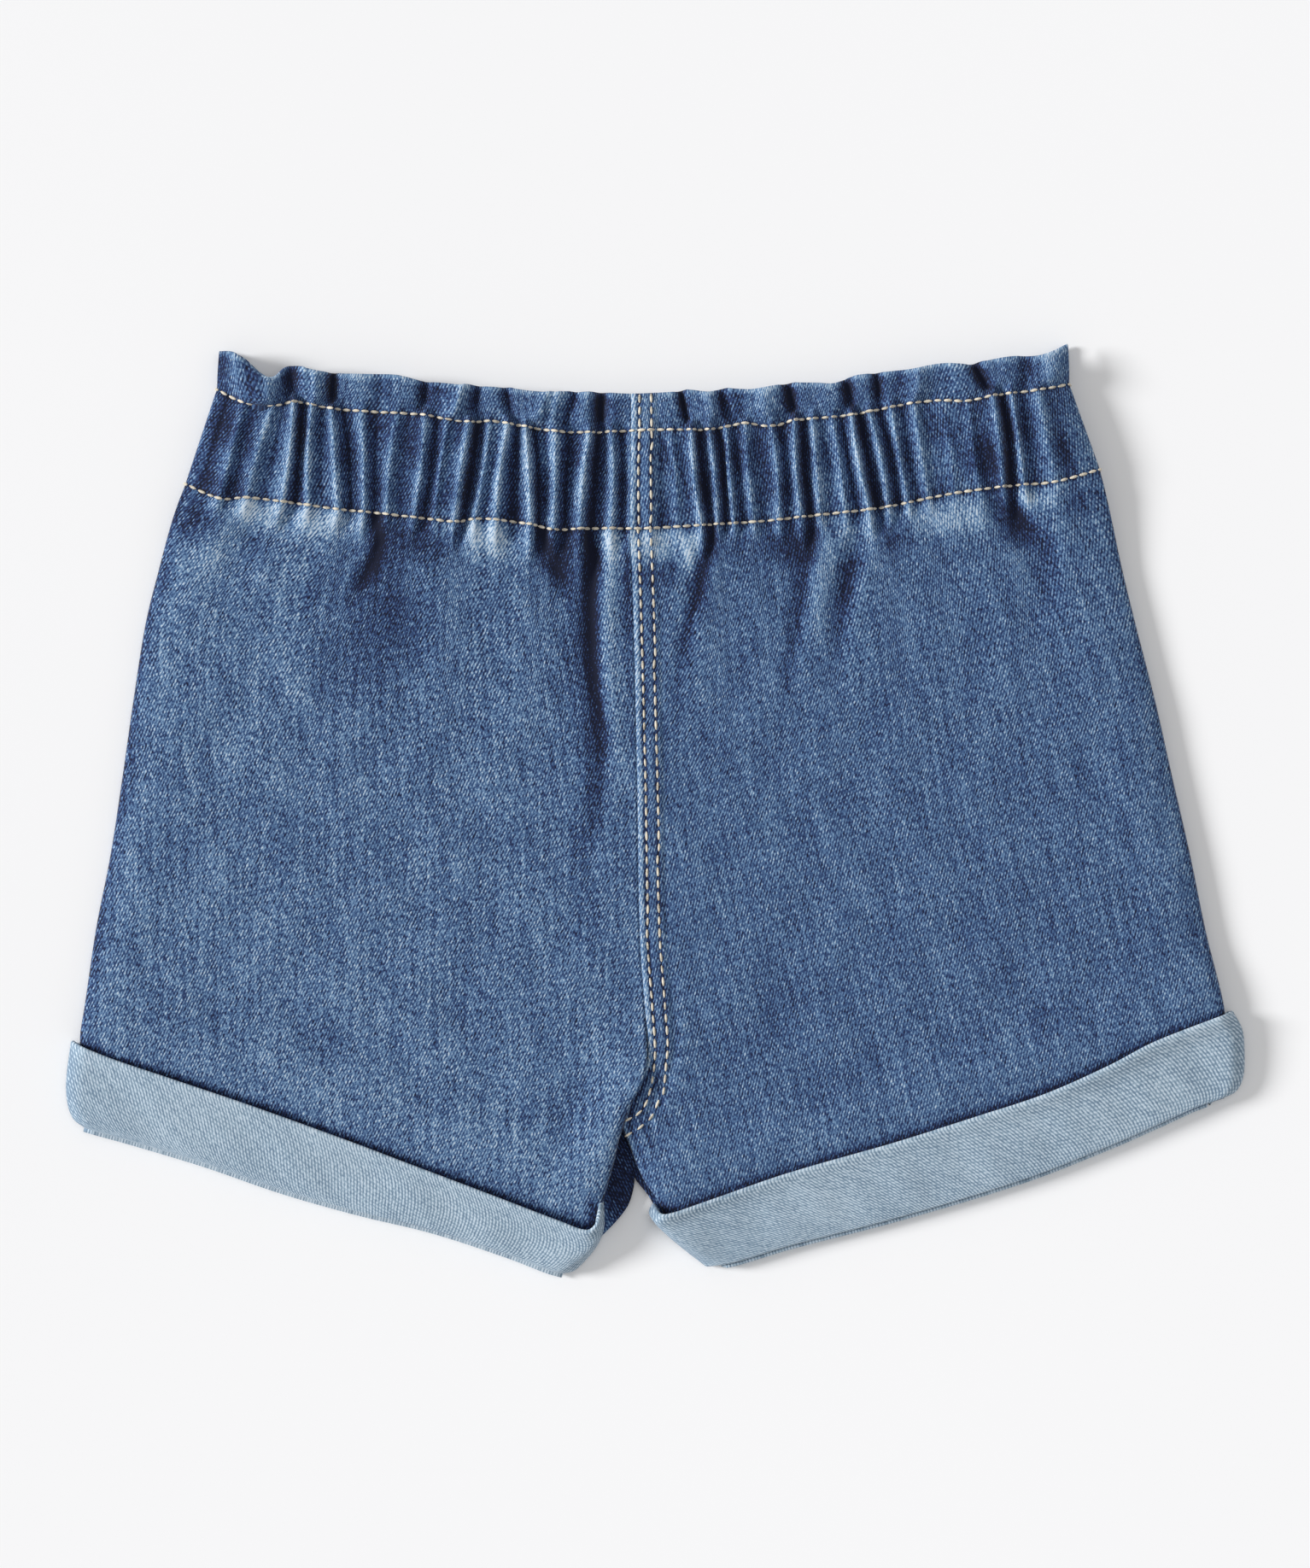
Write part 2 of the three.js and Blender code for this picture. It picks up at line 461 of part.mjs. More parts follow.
// The two halves of a turned-up cuff. The back one comes down round the sides of the leg to the front
// one, and each turns in at the fold to cover the leg's hem.
function cuffWalls(half) {
  const length = cuffLength(half);
  const hem = CLOTH + SEAM_GAP;
  const crest = hem + 2 * (CLOTH + SEAM_GAP) + DOME + 0.2 + CLOTH;
  const sides = SIDE_ANGLES.map((degrees) => {
    const turn = (degrees * Math.PI) / 180;
    const back = 1 - Math.cos(turn);
    return { out: CUFF_ROUND * back, in: CLOTH + (CUFF_ROUND - CLOTH) * back, up: Math.sin(turn) };
  });
  const middle = [];
  for (let i = 1; i < CUFF_STEPS; i += 1) {
    const across = mix(CUFF_ROUND, length - CUFF_ROUND, i / CUFF_STEPS);
    middle.push({ out: across, in: across, up: 1 });
  }
  const far = [...sides].reverse().map((p) => ({ out: length - p.out, in: length - p.in, up: p.up }));
  const columns = [...sides, ...middle, ...far];
  const depth = (v) => v / CUFF_DEPTH;
  const corner = (across) => smooth(1 - across / CUFF_CORNER) + smooth(1 - (length - across) / CUFF_CORNER);
  const stand = (across, v) => CUFF_STAND * (1 - v) ** 2 * corner(across);
  const outRows = [...CUFF_ROWS, 1 - depth(0.6), 1, 1];
  const inRows = [...CUFF_ROWS, 1 - depth(CLOTH + 0.4), 1 - depth(CLOTH), 1 - depth(CLOTH - 0.1)];
  const last = outRows.length - 1;
  const over = outRows.map((v, r) => columns.map(({ out, up }) => {
    const [x, y] = cuffPoint(half, out / length, v);
    const top = mix(hem + CLOTH, crest, up) + stand(out, v) * up;
    const z = r === last ? Math.min(top, mix(hem, 3 * hem, up)) : top - (r === last - 1 ? 0.7 * up : 0);
    return [x, y, r === last && up === 0 ? hem : z];
  }));
  const under = inRows.map((v, r) => columns.map(({ in: inside, up }) => {
    const [x, y] = cuffPoint(half, inside / length, v);
    const top = mix(hem, crest - CLOTH, up) + stand(inside, v) * up;
    const z = r === last ? mix(hem, 3 * hem, up) : top - (r === last - 1 ? 0.4 * up : 0);
    return [x, y, z];
  }));
  const flatOver = inRows.map((v, r) => columns.map(({ out, up }) => {
    const [x, y] = cuffPoint(half, out / length, v);
    return [x, y, r === last && up === 1 ? hem + CLOTH - 0.2 : CLOTH];
  }));
  const flatUnder = outRows.map((v, r) => columns.map(({ out }) => {
    const [x, y] = cuffPoint(half, out / length, v);
    return [x, y, r === last ? CLOTH : 0];
  }));
  return { back: wall(over, under), front: wall(flatOver, flatUnder) };
}

const box = new THREE.Box3().setFromObject(shorts);
shorts.position.set(-(box.min.x + box.max.x) / 2, -(box.min.y + box.max.y) / 2, -box.min.z);

export default shorts;
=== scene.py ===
"""A toddler's pull-on denim shorts with a gathered paper-bag waist, laid flat with the back up."""

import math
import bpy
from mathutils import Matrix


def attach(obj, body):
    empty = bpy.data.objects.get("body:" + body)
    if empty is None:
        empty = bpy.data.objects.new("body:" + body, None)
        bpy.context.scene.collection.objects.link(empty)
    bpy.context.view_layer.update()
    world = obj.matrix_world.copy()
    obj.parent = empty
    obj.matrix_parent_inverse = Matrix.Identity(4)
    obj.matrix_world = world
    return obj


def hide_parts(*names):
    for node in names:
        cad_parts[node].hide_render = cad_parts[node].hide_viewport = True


bl_info = {
    "name": "Denim shorts, laid flat",
    "version": (1, 0, 0),
    "blender": (4, 5, 0),
    "location": "View3D > Sidebar > Shorts",
    "description": "Builds pull-on denim shorts with gathers, topstitching and turned-up cuffs",
    "category": "Object",
}

from collections import namedtuple

import bpy
import numpy as np

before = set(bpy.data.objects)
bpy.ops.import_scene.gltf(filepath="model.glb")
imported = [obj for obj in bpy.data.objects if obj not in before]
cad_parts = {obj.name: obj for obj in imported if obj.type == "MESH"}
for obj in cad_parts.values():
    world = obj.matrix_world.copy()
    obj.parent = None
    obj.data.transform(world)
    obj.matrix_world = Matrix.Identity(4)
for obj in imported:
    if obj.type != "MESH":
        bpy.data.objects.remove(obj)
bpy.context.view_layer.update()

MM = 0.001

# Sizes in mm: the casing, the frill and the cuff, the two seat rows' distance from the seam's edge, the
# lap that they hold, the length of a leg at its side and at the crotch, how far its hem lies inside the
# cuff, and the height of the stitches on the underside.
CASING_DEPTH = 25
FRILL_DEPTH = 9.5
CUFF_DEPTH = 20
CUFF_CORNER = 4.5
CUFF_ROUND = 0.7
SEAT_ROWS = (2.1, 5.2)
LAP_WIDTH = 7
OUTER_LENGTH = 162
INNER_LENGTH = 190
HEM_INSET = 1.9
SIDE_INSET = 2.7
UNDER_ROW = 0.32
FLOAT_LENGTH = 1.15

# Dots to the millimetre in the photograph, and its height in dots.
PICTURE_SCALE = 4.6
PICTURE_ROWS = 1836

# The waist in mm, one row for each gather from the left side to the right side.
# top: where its crest crosses the upper stitching row, low: the lower row, tip: the frill's free edge.
# high: height of the crest, dip: height of the valley to its right, notch: where that valley lies on
# the way to the next crest, run: how far the gather runs on below the casing.
Gather = namedtuple("Gather", "top_x top_y low_x low_y tip_x tip_y high dip notch run")
GATHERS = (
    Gather(-111.9, 107.7, -119.9, 83.6, -111.3, 117.0, 0.45, 0.2, 0.5, 8),
    Gather(-104.7, 104.2, -111.0, 79.8, -106.6, 116.2, 0.75, 0.3, 0.45, 10),
    Gather(-97.3, 103.4, -104.0, 80.0, -98.3, 110.4, 0.7, 0.25, 0.5, 14),
    Gather(-91.9, 104.4, -94.9, 79.0, -93.0, 113.2, 0.9, 0.05, 0.4, 16),
    Gather(-87.3, 103.7, -88.4, 78.1, -86.6, 112.1, 0.85, 0.3, 0.5, 12),
    Gather(-82.4, 102.7, -80.5, 77.0, -80.4, 111.2, 0.8, 0.1, 0.4, 14),
    Gather(-74.8, 102.0, -74.0, 76.4, -74.0, 111.0, 0.75, 0.2, 0.4, 18),
    Gather(-65.6, 101.5, -68.4, 75.8, -66.2, 110.8, 0.7, 0.3, 0.5, 12),
    Gather(-58.4, 101.0, -61.4, 75.0, -59.0, 109.2, 0.8, 0.2, 0.45, 12),
    Gather(-52.8, 99.9, -56.4, 74.4, -53.6, 108.8, 0.65, 0.4, 0.5, 10),
    Gather(-47.2, 99.3, -51.0, 73.9, -47.8, 108.3, 0.95, 0, 0.4, 16),
    Gather(-42.3, 99.5, -46.0, 74.6, -42.8, 107.8, 0.6, 0.3, 0.5, 12),
    Gather(-37.5, 98.9, -40.6, 74.4, -38.2, 107.6, 0.9, 0.05, 0.5, 18),
    Gather(-32.9, 98.1, -31.6, 73.2, -32.6, 106.9, 0.95, 0, 0.3, 20),
    Gather(-25.3, 96.9, -25.9, 71.9, -25.2, 106.5, 0.9, 0.05, 0.4, 18),
    Gather(-16.6, 96.6, -19.0, 72.1, -17.2, 106.5, 1, 0, 0.35, 26),
    Gather(-11.2, 96.8, -11.2, 72.2, -11.4, 106.2, 0.8, 0.15, 0.5, 14),
    Gather(-6.2, 97.0, -6.4, 72.1, -6.2, 106.0, 0.5, 0.45, 0.5, 10),
    Gather(-1.5, 97.2, -1.3, 72.2, -1.6, 106.1, 0.6, 0.3, 0.5, 12),
    Gather(3.9, 97.3, 5.4, 72.6, 3.6, 106.4, 0.5, 0.3, 0.5, 12),
    Gather(9.2, 97.3, 11.8, 73.0, 8.6, 107.0, 0.95, 0.05, 0.45, 22),
    Gather(13.6, 97.4, 15.9, 73.3, 13.3, 106.6, 0.85, 0.1, 0.5, 10),
    Gather(17.9, 98.0, 20.0, 73.5, 17.9, 107.4, 0.8, 0.25, 0.5, 8),
    Gather(22.9, 98.9, 24.9, 73.8, 24.0, 107.2, 0.75, 0.3, 0.5, 10),
    Gather(29.6, 98.2, 31.4, 74.4, 30.3, 108.2, 0.8, 0.2, 0.4, 12),
    Gather(35.3, 99.7, 37.0, 75.1, 35.4, 108.8, 0.9, 0.05, 0.5, 20),
    Gather(39.8, 100.1, 41.8, 75.6, 40.6, 108.8, 0.8, 0.3, 0.5, 12),
    Gather(44.8, 100.5, 48.4, 76.3, 45.6, 108.7, 0.6, 0.15, 0.5, 14),
    Gather(49.9, 101.1, 54.4, 77.0, 50.6, 110.6, 0.95, 0, 0.45, 16),
    Gather(54.4, 101.9, 59.2, 77.7, 55.2, 111.2, 0.85, 0.15, 0.5, 12),
    Gather(59.9, 103.0, 64.2, 78.7, 60.6, 111.8, 0.8, 0.25, 0.5, 10),
    Gather(65.6, 104.1, 69.4, 79.8, 66.2, 112.6, 0.75, 0.35, 0.5, 10),
    Gather(72.4, 104.7, 76.2, 81.1, 72.8, 113.7, 0.6, 0.5, 0.5, 8),
    Gather(79.6, 104.6, 82.5, 82.0, 80.4, 113.7, 0.65, 0.35, 0.5, 10),
    Gather(85.9, 106.0, 88.4, 82.8, 86.6, 114.9, 0.9, 0.05, 0.45, 20),
    Gather(90.6, 106.6, 93.6, 83.3, 91.4, 115.6, 0.85, 0.25, 0.4, 14),
    Gather(97.3, 107.4, 102.2, 84.1, 98.0, 115.9, 0.75, 0.35, 0.5, 10),
    Gather(105.6, 109.0, 113.4, 87.3, 105.2, 118.8, 0.45, 0.3, 0.5, 8),
)
WAIST = np.array(GATHERS)
LEVELS = {"top": 0, "low": 2, "tip": 4}
HIGH, DIP, NOTCH, RUN = 6, 7, 8, 9
SEAT_SEAM = 17

# Waves of the frill: where one crosses the upper stitching and the free edge, how far it spreads to
# each side, its rise in mm (below 0 for a valley) and its tone: below 0 a painted shade in the gaps,
# above 0 paler crests, partly wear and partly painted light.
Wave = namedtuple("Wave", "foot tip wide rise tone")
WAVES = (
    Wave(-111, -110.6, 1.6, -0.6, -0.88),
    Wave(-106, -106.4, 2.6, 0.8, 0.55),
    Wave(-102.5, -103.6, 2, -0.5, -0.88),
    Wave(-97.6, -98.4, 2.2, 1.2, 0.77),
    Wave(-93.3, -92.8, 2.16, -2.6, -1.89),
    Wave(-89.6, -89.6, 1.3, 1.2, 0.55),
    Wave(-86.4, -86.6, 2.2, 1.2, 0.55),
    Wave(-82.6, -82.2, 1.22, -3.4, -2.7),
    Wave(-75, -76, 4, 0.8, 0.55),
    Wave(-70.2, -70, 1.6, -0.6, -0.5),
    Wave(-64.5, -64.5, 3.4, 0.6, 0.33),
    Wave(-59.4, -58.6, 1.35, -2.4, -1.89),
    Wave(-56.6, -55.4, 1.6, -0.6, -0.88),
    Wave(-52, -49, 1.7, 1.8, 0.88),
    Wave(-47, -45.4, 1.3, -1.8, -1.5),
    Wave(-41.6, -42, 2.8, 0.5, 0.11),
    Wave(-36.3, -38.2, 1.3, -1.8, -1.5),
    Wave(-31.6, -27.6, 2, 1.2, 0.66),
    Wave(-27, -24.6, 1.6, 1.2, 0.55),
    Wave(-23.2, -20.6, 1.2, -1.6, -1.25),
    Wave(-18.6, -17.4, 2, 0.8, 0.33),
    Wave(-14.2, -14, 1.49, -3.6, -2.97),
    Wave(-10.4, -10.6, 1.8, 0.4, -0.25),
    Wave(3.2, 2.4, 3.2, 0.6, 0.28),
    Wave(8.4, 6.4, 1.08, -3.2, -2.7),
    Wave(14.6, 13.4, 2.6, 0.9, 0.55),
    Wave(18.7, 16.6, 1.62, -2.2, -1.76),
    Wave(21.8, 20.8, 1.6, -0.4, -0.75),
    Wave(28, 27.6, 3, 1, 0.77),
    Wave(35.6, 33.6, 1.49, -3.2, -2.7),
    Wave(43.6, 43.6, 3.6, 0.8, 0.44),
    Wave(50, 48.6, 1.49, -3, -2.56),
    Wave(57, 56.2, 1.22, -2.8, -2.29),
    Wave(61.6, 62.4, 2, -0.6, -0.62),
    Wave(66.8, 67, 2.2, 1, 0.44),
    Wave(78, 76, 3.4, 0.7, 0.28),
    Wave(85.5, 81.2, 1.49, -3.2, -2.7),
    Wave(89.8, 88.6, 2, 0.6, 0.11),
    Wave(94.6, 94.4, 1.8, -1.4, -1.12),
    Wave(100.5, 100, 3.2, 1, 0.77),
)

# Frill lobes that curl forward over the stitching: place along it, width, how far the lobe sags over
# the row and how far it stands out, in mm.
Curl = namedtuple("Curl", "x wide sag out")
CURLS = (
    Curl(-101.0, 4.2, 2.3, 2.2),
    Curl(-86.4, 2.6, 1.2, 1.4),
    Curl(-51.0, 2.6, 0.7, 1.2),
    Curl(-30.0, 3.0, 0.6, 1.0),
    Curl(14.0, 3.0, 0.5, 0.8),
    Curl(28.0, 3.4, 0.6, 0.8),
    Curl(66.0, 3.0, 0.5, 0.8),
    Curl(102.0, 3.0, 0.6, 0.8),
)

SEAM_LINE = (
    (-6.4, 72.1), (-6.0, 62.7), (-5.5, 46), (-5.1, 29.5), (-4.6, 5), (-4.0, -31.4), (-2.7, -50.3),
    (-2.1, -62.9),
)

# Each half: its first and last gather, the outer side from the casing to the cuff, the inner side from
# the seam to the cuff, how far down the crotch lies, how far the edge stands up there, whether the lap of
# the seat seam lies on it, the angle of the twill on the leg and against the hem, and the four edges of
# its cuff, in mm.
Half = namedtuple("Half", "name first last outer inner crotch bulge lapped twill hem_twill cuff")
Cuff = namedtuple("Cuff", "top bottom outer inner")
LEFT = Half(
    "left", 0, SEAT_SEAM,
    ((-119.9, 83.6), (-123.4, 74), (-127.1, 61), (-130.3, 47.9), (-133.4, 28.4), (-136.2, 8.8),
     (-139.2, -10.8), (-143.0, -30.3), (-145.8, -49.9), (-146.9, -58.6)),
    SEAM_LINE + (
        (-2.7, -66.6), (-3.8, -70.1), (-6.2, -74.7), (-7.7, -79.2), (-9.2, -83.4), (-10.6, -89.7),
        (-12.0, -94.6), (-13.4, -99.6)),
    0.74, 3.2, False, 64, 112,
    Cuff(
        ((-149.6, -59.0), (-138.8, -63.4), (-125.5, -67.8), (-101.6, -75.9), (-78.2, -84.4),
         (-61.6, -90.7), (-37.3, -99.9), (-24.0, -105.0), (-17.4, -107.0), (-14.6, -104.8), (-13.2, -99.6)),
        ((-146.2, -80.8), (-133.8, -84.2), (-114.9, -89.9), (-95.5, -96.6), (-76.2, -102.1),
         (-56.8, -106.8), (-37.3, -113.2), (-27.5, -117.0), (-23.6, -118.2)),
        ((-149.6, -59.0), (-150.8, -68.6), (-150.5, -74.5), (-149.0, -78.6), (-146.2, -80.8)),
        ((-13.2, -99.6), (-13.0, -106.0), (-14.6, -110.6), (-18.4, -115.4), (-21.0, -117.6),
         (-23.6, -118.2)),
    ),
)
RIGHT = Half(
    "right", len(GATHERS) - 1, SEAT_SEAM,
    ((113.4, 87.3), (116.6, 74), (119.5, 61), (122.7, 47.9), (127.7, 28.4), (132.1, 8.8),
     (136.6, -10.8), (140.6, -30.3), (144.4, -46.0), (145.4, -51.8)),
    SEAM_LINE + (
        (-3.6, -66.6), (-5.2, -70.1), (-7.6, -74.7), (-8.6, -79.4), (-7.2, -83.6), (-5.0, -89.7),
        (-2.8, -94.4), (0.8, -99.6)),
    0.8, -0.3, True, 76, 120,
    Cuff(
        ((147.9, -51.2), (131.6, -57.3), (125.5, -59.9), (115.1, -65.4), (98.8, -72.6), (82.7, -77.9),
         (61, -84.8), (34, -92.5), (17.7, -98.1), (8.6, -101.3), (3.6, -102.8), (0.9, -102.6),
         (-0.9, -100.4)),
        ((145.8, -73.0), (138.2, -75.5), (128.6, -79.9), (115.8, -85.5), (93.4, -94.2), (61, -104),
         (34, -111), (20.0, -115.2), (12.9, -116.4)),
        ((147.9, -51.2), (150.2, -55.6), (150.8, -61.4), (150.5, -67.7), (148.8, -71.4), (145.8, -73.0)),
        ((-0.9, -100.4), (-1.7, -102.8), (1.2, -106.6), (5.5, -110.6), (12.9, -116.4)),
    ),
)
HALVES = (LEFT, RIGHT)

# The fronts' crotch lies lower than the backs', as a painted shadow: its dark cloth fills the gap between the
# legs, where there is only shadow. Its inner edges below the seat seam in mm.
FRONT_INNER_AS_SHADOW = {
    "left": ((-4.4, -72), (-6.0, -82), (-5.7, -89), (-5.4, -95), (-7.4, -101.4)),
    "right": ((-4.4, -72), (-6.0, -82), (-6.2, -89), (-5.4, -93.5), (-1.8, -98.2)),
}

# Folds of the back in mm: the line of the fold, how far it spreads to each side and its height.
Fold = namedtuple("Fold", "path reach rise")
FOLDS = (
    Fold(((-102.5, 77), (-95.5, 72)), 7, 0.7),
    Fold(((-96.6, 74.5), (-112.7, 57.1)), 8, -0.9),
    Fold(((-71.2, 75), (-73.8, 61.6), (-76.6, 54.9)), 6, -0.8),
    Fold(((-49, 72), (-37, 66)), 9, 0.6),
    Fold(((-49.9, 68.4), (-52.1, 51.6), (-57.7, 26.6)), 10, 0.35),
    Fold(((-29.9, 69.5), (-24.5, 59.9), (-21.2, 46)), 8, -0.8),
    Fold(((-15.5, 68.4), (-16.0, 50), (-14.6, 30), (-13.4, 10), (-16, -18)), 5, -0.6),
    Fold(((-10, 69.7), (-9.5, 58.8)), 5, 0.5),
    Fold(((-3, 68.5), (6, 68)), 8, 0.6),
    Fold(((9.7, 68.4), (11.4, 59.9)), 5, 0.6),
    Fold(((13.2, 72), (12.5, 66.6), (7.5, 51.6), (5.8, 22)), 4.5, -0.7),
    Fold(((38.6, 71), (38.6, 59.9), (34.7, 30)), 5, -0.6),
    Fold(((43.6, 65.5), (41, 46), (38.5, 24)), 7, 0.4),
    Fold(((51.4, 68), (46.8, 51.6), (45.1, 26)), 5, -0.7),
    Fold(((60, 75.5), (85, 77)), 9, 0.7),
    Fold(((89.5, 77), (98.8, 67), (99.2, 56), (92.9, 36)), 6.5, -0.9),
    Fold(((-112, -20), (-84, -34)), 20, 0.2),
    Fold(((-46, -52), (-30, -74)), 16, -0.3),
    Fold(((70, -20), (104, -34)), 20, 0.15),
    Fold(((34, -48), (22, -72)), 16, -0.25),
    Fold(((6.5, -44), (11, -42.5)), 1.8, 0.35),
    Fold(((7, -48.5), (12, -47)), 1.8, 0.4),
    Fold(((7, -53.5), (13, -52)), 2.0, 0.45),
    Fold(((7, -59), (13.5, -58)), 2.0, 0.5),
    Fold(((6.5, -64), (12, -64)), 2.0, 0.5),
    Fold(((5, -69), (10, -70.5)), 2.0, 0.5),
    Fold(((3, -74.5), (7, -77.5)), 1.8, 0.5),
    Fold(((0, -79), (3.5, -82.5)), 1.8, 0.4),
)

# Sharp creases of the back in mm: the line from the casing down, its depth, how far its painted shade reaches to
# the west and to the east, and how dark that painted shade is. The cloth rises at once on the side with the
# short reach.
Crease = namedtuple("Crease", "path depth west east tone")
CREASES = (
    Crease(((-70.8, 75), (-70.4, 69), (-71.8, 64), (-73.8, 60), (-76.4, 56), (-80, 50)), 0.7, 1.6, 2.4, 2.1),
    Crease(((-50.5, 72), (-51.6, 66.5)), 0.3, 2, 2, 0.8),
    Crease(((-28.6, 71), (-26, 64), (-23.6, 58), (-21.5, 52)), 0.4, 2, 1.8, 1.5),
    Crease(
        ((-17.4, 71), (-15.4, 65), (-16, 58), (-16, 50), (-15.8, 40), (-14.8, 30), (-13.3, 20), (-13.4, 10),
         (-15.5, -8), (-18, -28)),
        0.7, 4.6, 1.2, 1.9),
    Crease(((-7.6, 72), (-7.2, 62), (-6.8, 46), (-6.3, 28)), 0.2, 0.9, 0.9, 1.3),
    Crease(
        ((14.6, 71), (13.2, 66), (12.2, 61), (10.8, 55), (8.4, 48), (6.6, 40), (5.4, 28), (4.6, 12)),
        0.35, 1.5, 1.8, 1.1),
    Crease(((40.4, 72), (39.8, 66), (38.2, 60), (36.9, 50), (35, 40), (33.4, 30), (32, 22)), 0.3, 3.4, 1.2, 0.6),
    Crease(((50.6, 63), (49.2, 59), (47.6, 50), (46.6, 40), (45, 30)), 0.2, 2.2, 1.8, 0.5),
    Crease(((87.5, 82), (91, 77), (94.5, 74), (99, 68), (100.8, 62), (99, 54)), 0.35, 3.6, 3.2, 0.8),
)

# Pale and dark places of the leg backs: centre and half size in mm, lean in degrees, and tone, above 0 for paler
# and below 0 for darker. They are partly wear and partly painted light and shade.
Patch = namedtuple("Patch", "x y wide high lean tone")
PATCHES = (
    Patch(-117, 74.0, 5, 6.0, -10, -1.0),
    Patch(-112, 65, 9, 7, -14, 0.45),
    Patch(-97, 74.8, 10, 4.4, -16, 1.0),
    Patch(-86, 40, 6, 18, -10, -0.25),
    Patch(-80, 60, 6, 8, -20, -0.3),
    Patch(-82, 74.0, 11, 4.0, -8, 0.8),
    Patch(-60, 69.5, 11, 5.4, -14, -1.0),
    Patch(-71, 48, 9, 20, -12, -0.75),
    Patch(-58, 44, 9, 18, -8, -0.3),
    Patch(-42, 69.4, 8.5, 5.2, -16, 1.0),
    Patch(-23, 67.4, 8, 6.0, -30, -0.8),
    Patch(-17, 8, 4, 34, -3, -0.3),
    Patch(15, 67, 5, 3.4, 0, -0.6),
    Patch(-12, 68.6, 3.6, 3.6, -6, 0.6),
    Patch(1.0, 68.8, 7.5, 4.8, 0, 1.0),
    Patch(9, 65, 2, 6, -14, 1.0),
    Patch(0, 92, 4, 8, 0, 0.3),
    Patch(1.0, 60.0, 6.5, 3.6, 0, -0.55),
    Patch(33.4, 67.6, 9, 4.8, 6, -0.9),
    Patch(51.5, 69.6, 5.5, 4, 10, 0.9),
    Patch(61, 71.4, 7, 4, 10, -1.0),
    Patch(75, 74.6, 15, 4.2, 8, 0.8),
    Patch(91, 74.0, 3.6, 5.6, 20, -0.8),
    Patch(96.5, 79.6, 6, 2.4, 0, 0.9),
    Patch(95, 66, 5, 8, 0, 0.3),
    Patch(108, 79, 5, 3.4, 20, -0.6),
    Patch(-100, 40, 22, 34, -8, 0.12),
    Patch(-60, -66, 70, 20, -20, 0.12),
    Patch(-16, 20, 12, 50, 4, -0.08),
    Patch(92, -26, 30, 20, -12, -0.1),
    # The next two are painted shadows at the inner corners of the two cuffs.
    Patch(-15.6, -103, 1.4, 4, 8, -1.6),
    Patch(1.2, -101.4, 1.8, 2.0, 0, -1.6),
    Patch(-8, -78, 3, 5, 20, -0.5),
)

# The same on the casing.
CASING_PATCHES = (
    Patch(-106, 99, 8, 10, 0, -0.6),
    Patch(-97, 92, 5, 12, 0, 0.5),
    Patch(-60, 97, 13, 9, 0, -0.5),
    Patch(-34, 90, 8, 12, 0, 0.55),
    Patch(24, 90, 13, 14, 0, -0.45),
    Patch(50, 85, 8, 12, 0, 0.35),
    Patch(80, 96, 18, 14, 0, -0.45),
    Patch(70, 88, 5, 8, 0, 0.3),
    Patch(86, 87, 5, 14, 24, -0.7),
    Patch(-108, 82, 9, 4, -12, -0.7),
    Patch(-60, 80, 10, 4, 0, -0.5),
    Patch(60, 80, 8, 4, 8, -0.5),
    Patch(110, 97, 5, 12, 0, 0.5),
    Patch(103.5, 92, 3, 10, 10, -0.8),
)

# Where the two rows of the seat seam leave it and turn under the left leg, and the short last row.
SEAM_TAILS = (
    ((-0.1, -62.5), (-0.5, -67.1), (-1.6, -72.1), (-2.7, -75.1), (-4.5, -77.1), (-6.9, -78.4)),
    ((2.9, -62.5), (2.5, -67.5), (2.1, -71.2)),
    ((0.5, -74.5), (-0.8, -77.5), (-2.7, -79.7), (-6.9, -82.3)),
)


def mix(a, b, t):
    return a + (b - a) * t


def smooth(t):
    t = np.clip(t, 0, 1)
    return t * t * (3 - 2 * t)


def rounded(t):
    return np.sqrt(1 - (1 - np.clip(t, 0, 1)) ** 2)


def bell(away, reach):
    """1 where away is 0, falling to 0 at about twice the reach."""
    return np.exp(-((away / reach) ** 2))


def along(points, t):
    """Points on the smooth line through points, at shares t of its length."""
    points = np.array(points, float)
    at = np.concatenate([[0], np.cumsum(np.linalg.norm(np.diff(points, axis=0), axis=1))])
    slope = np.empty_like(points)
    slope[1:-1] = (points[2:] - points[:-2]) / (at[2:] - at[:-2])[:, None]
    slope[0] = (points[1] - points[0]) / at[1]
    slope[-1] = (points[-1] - points[-2]) / (at[-1] - at[-2])
    want = np.clip(t, 0, 1) * at[-1]
    i = np.clip(np.searchsorted(at, want, side="right") - 1, 0, len(points) - 2)
    span = at[i + 1] - at[i]
    f = ((want - at[i]) / span)[..., None]
    span = span[..., None]
    return (
        (1 + 2 * f) * (1 - f) ** 2 * points[i]
        + f * (1 - f) ** 2 * span * slope[i]
        + f * f * (3 - 2 * f) * points[i + 1]
        - f * f * (1 - f) * span * slope[i + 1]
    )


def patch(top, bottom, outer, inner, u, v):
    """The patch between four edges: u runs from outer to inner along a row, v from top to bottom."""
    u, v = u[None, :, None], v[:, None, None]
    outer, inner = outer[:, None], inner[:, None]
    return (
        mix(top[None], bottom[None], v)
        + (1 - u) * (outer - mix(outer[:1], outer[-1:], v))
        + u * (inner - mix(inner[:1], inner[-1:], v))
    )


def waist(station, level):
    """Places on the waist: station 3.5 is half way from gather 3 to gather 4."""
    last = len(WAIST) - 1
    i = np.clip(np.floor(station).astype(int), 0, last - 1)
    f = (station - i)[..., None]
    column = LEVELS[level]
    places = WAIST[:, column:column + 2]
    a, b = places[np.clip(i - 1, 0, last)], places[i]
    c, d = places[i + 1], places[np.clip(i + 2, 0, last)]
    return b + 0.5 * f * (c - a + f * (2 * a - 5 * b + 4 * c - d + f * (3 * (b - c) + d - a)))


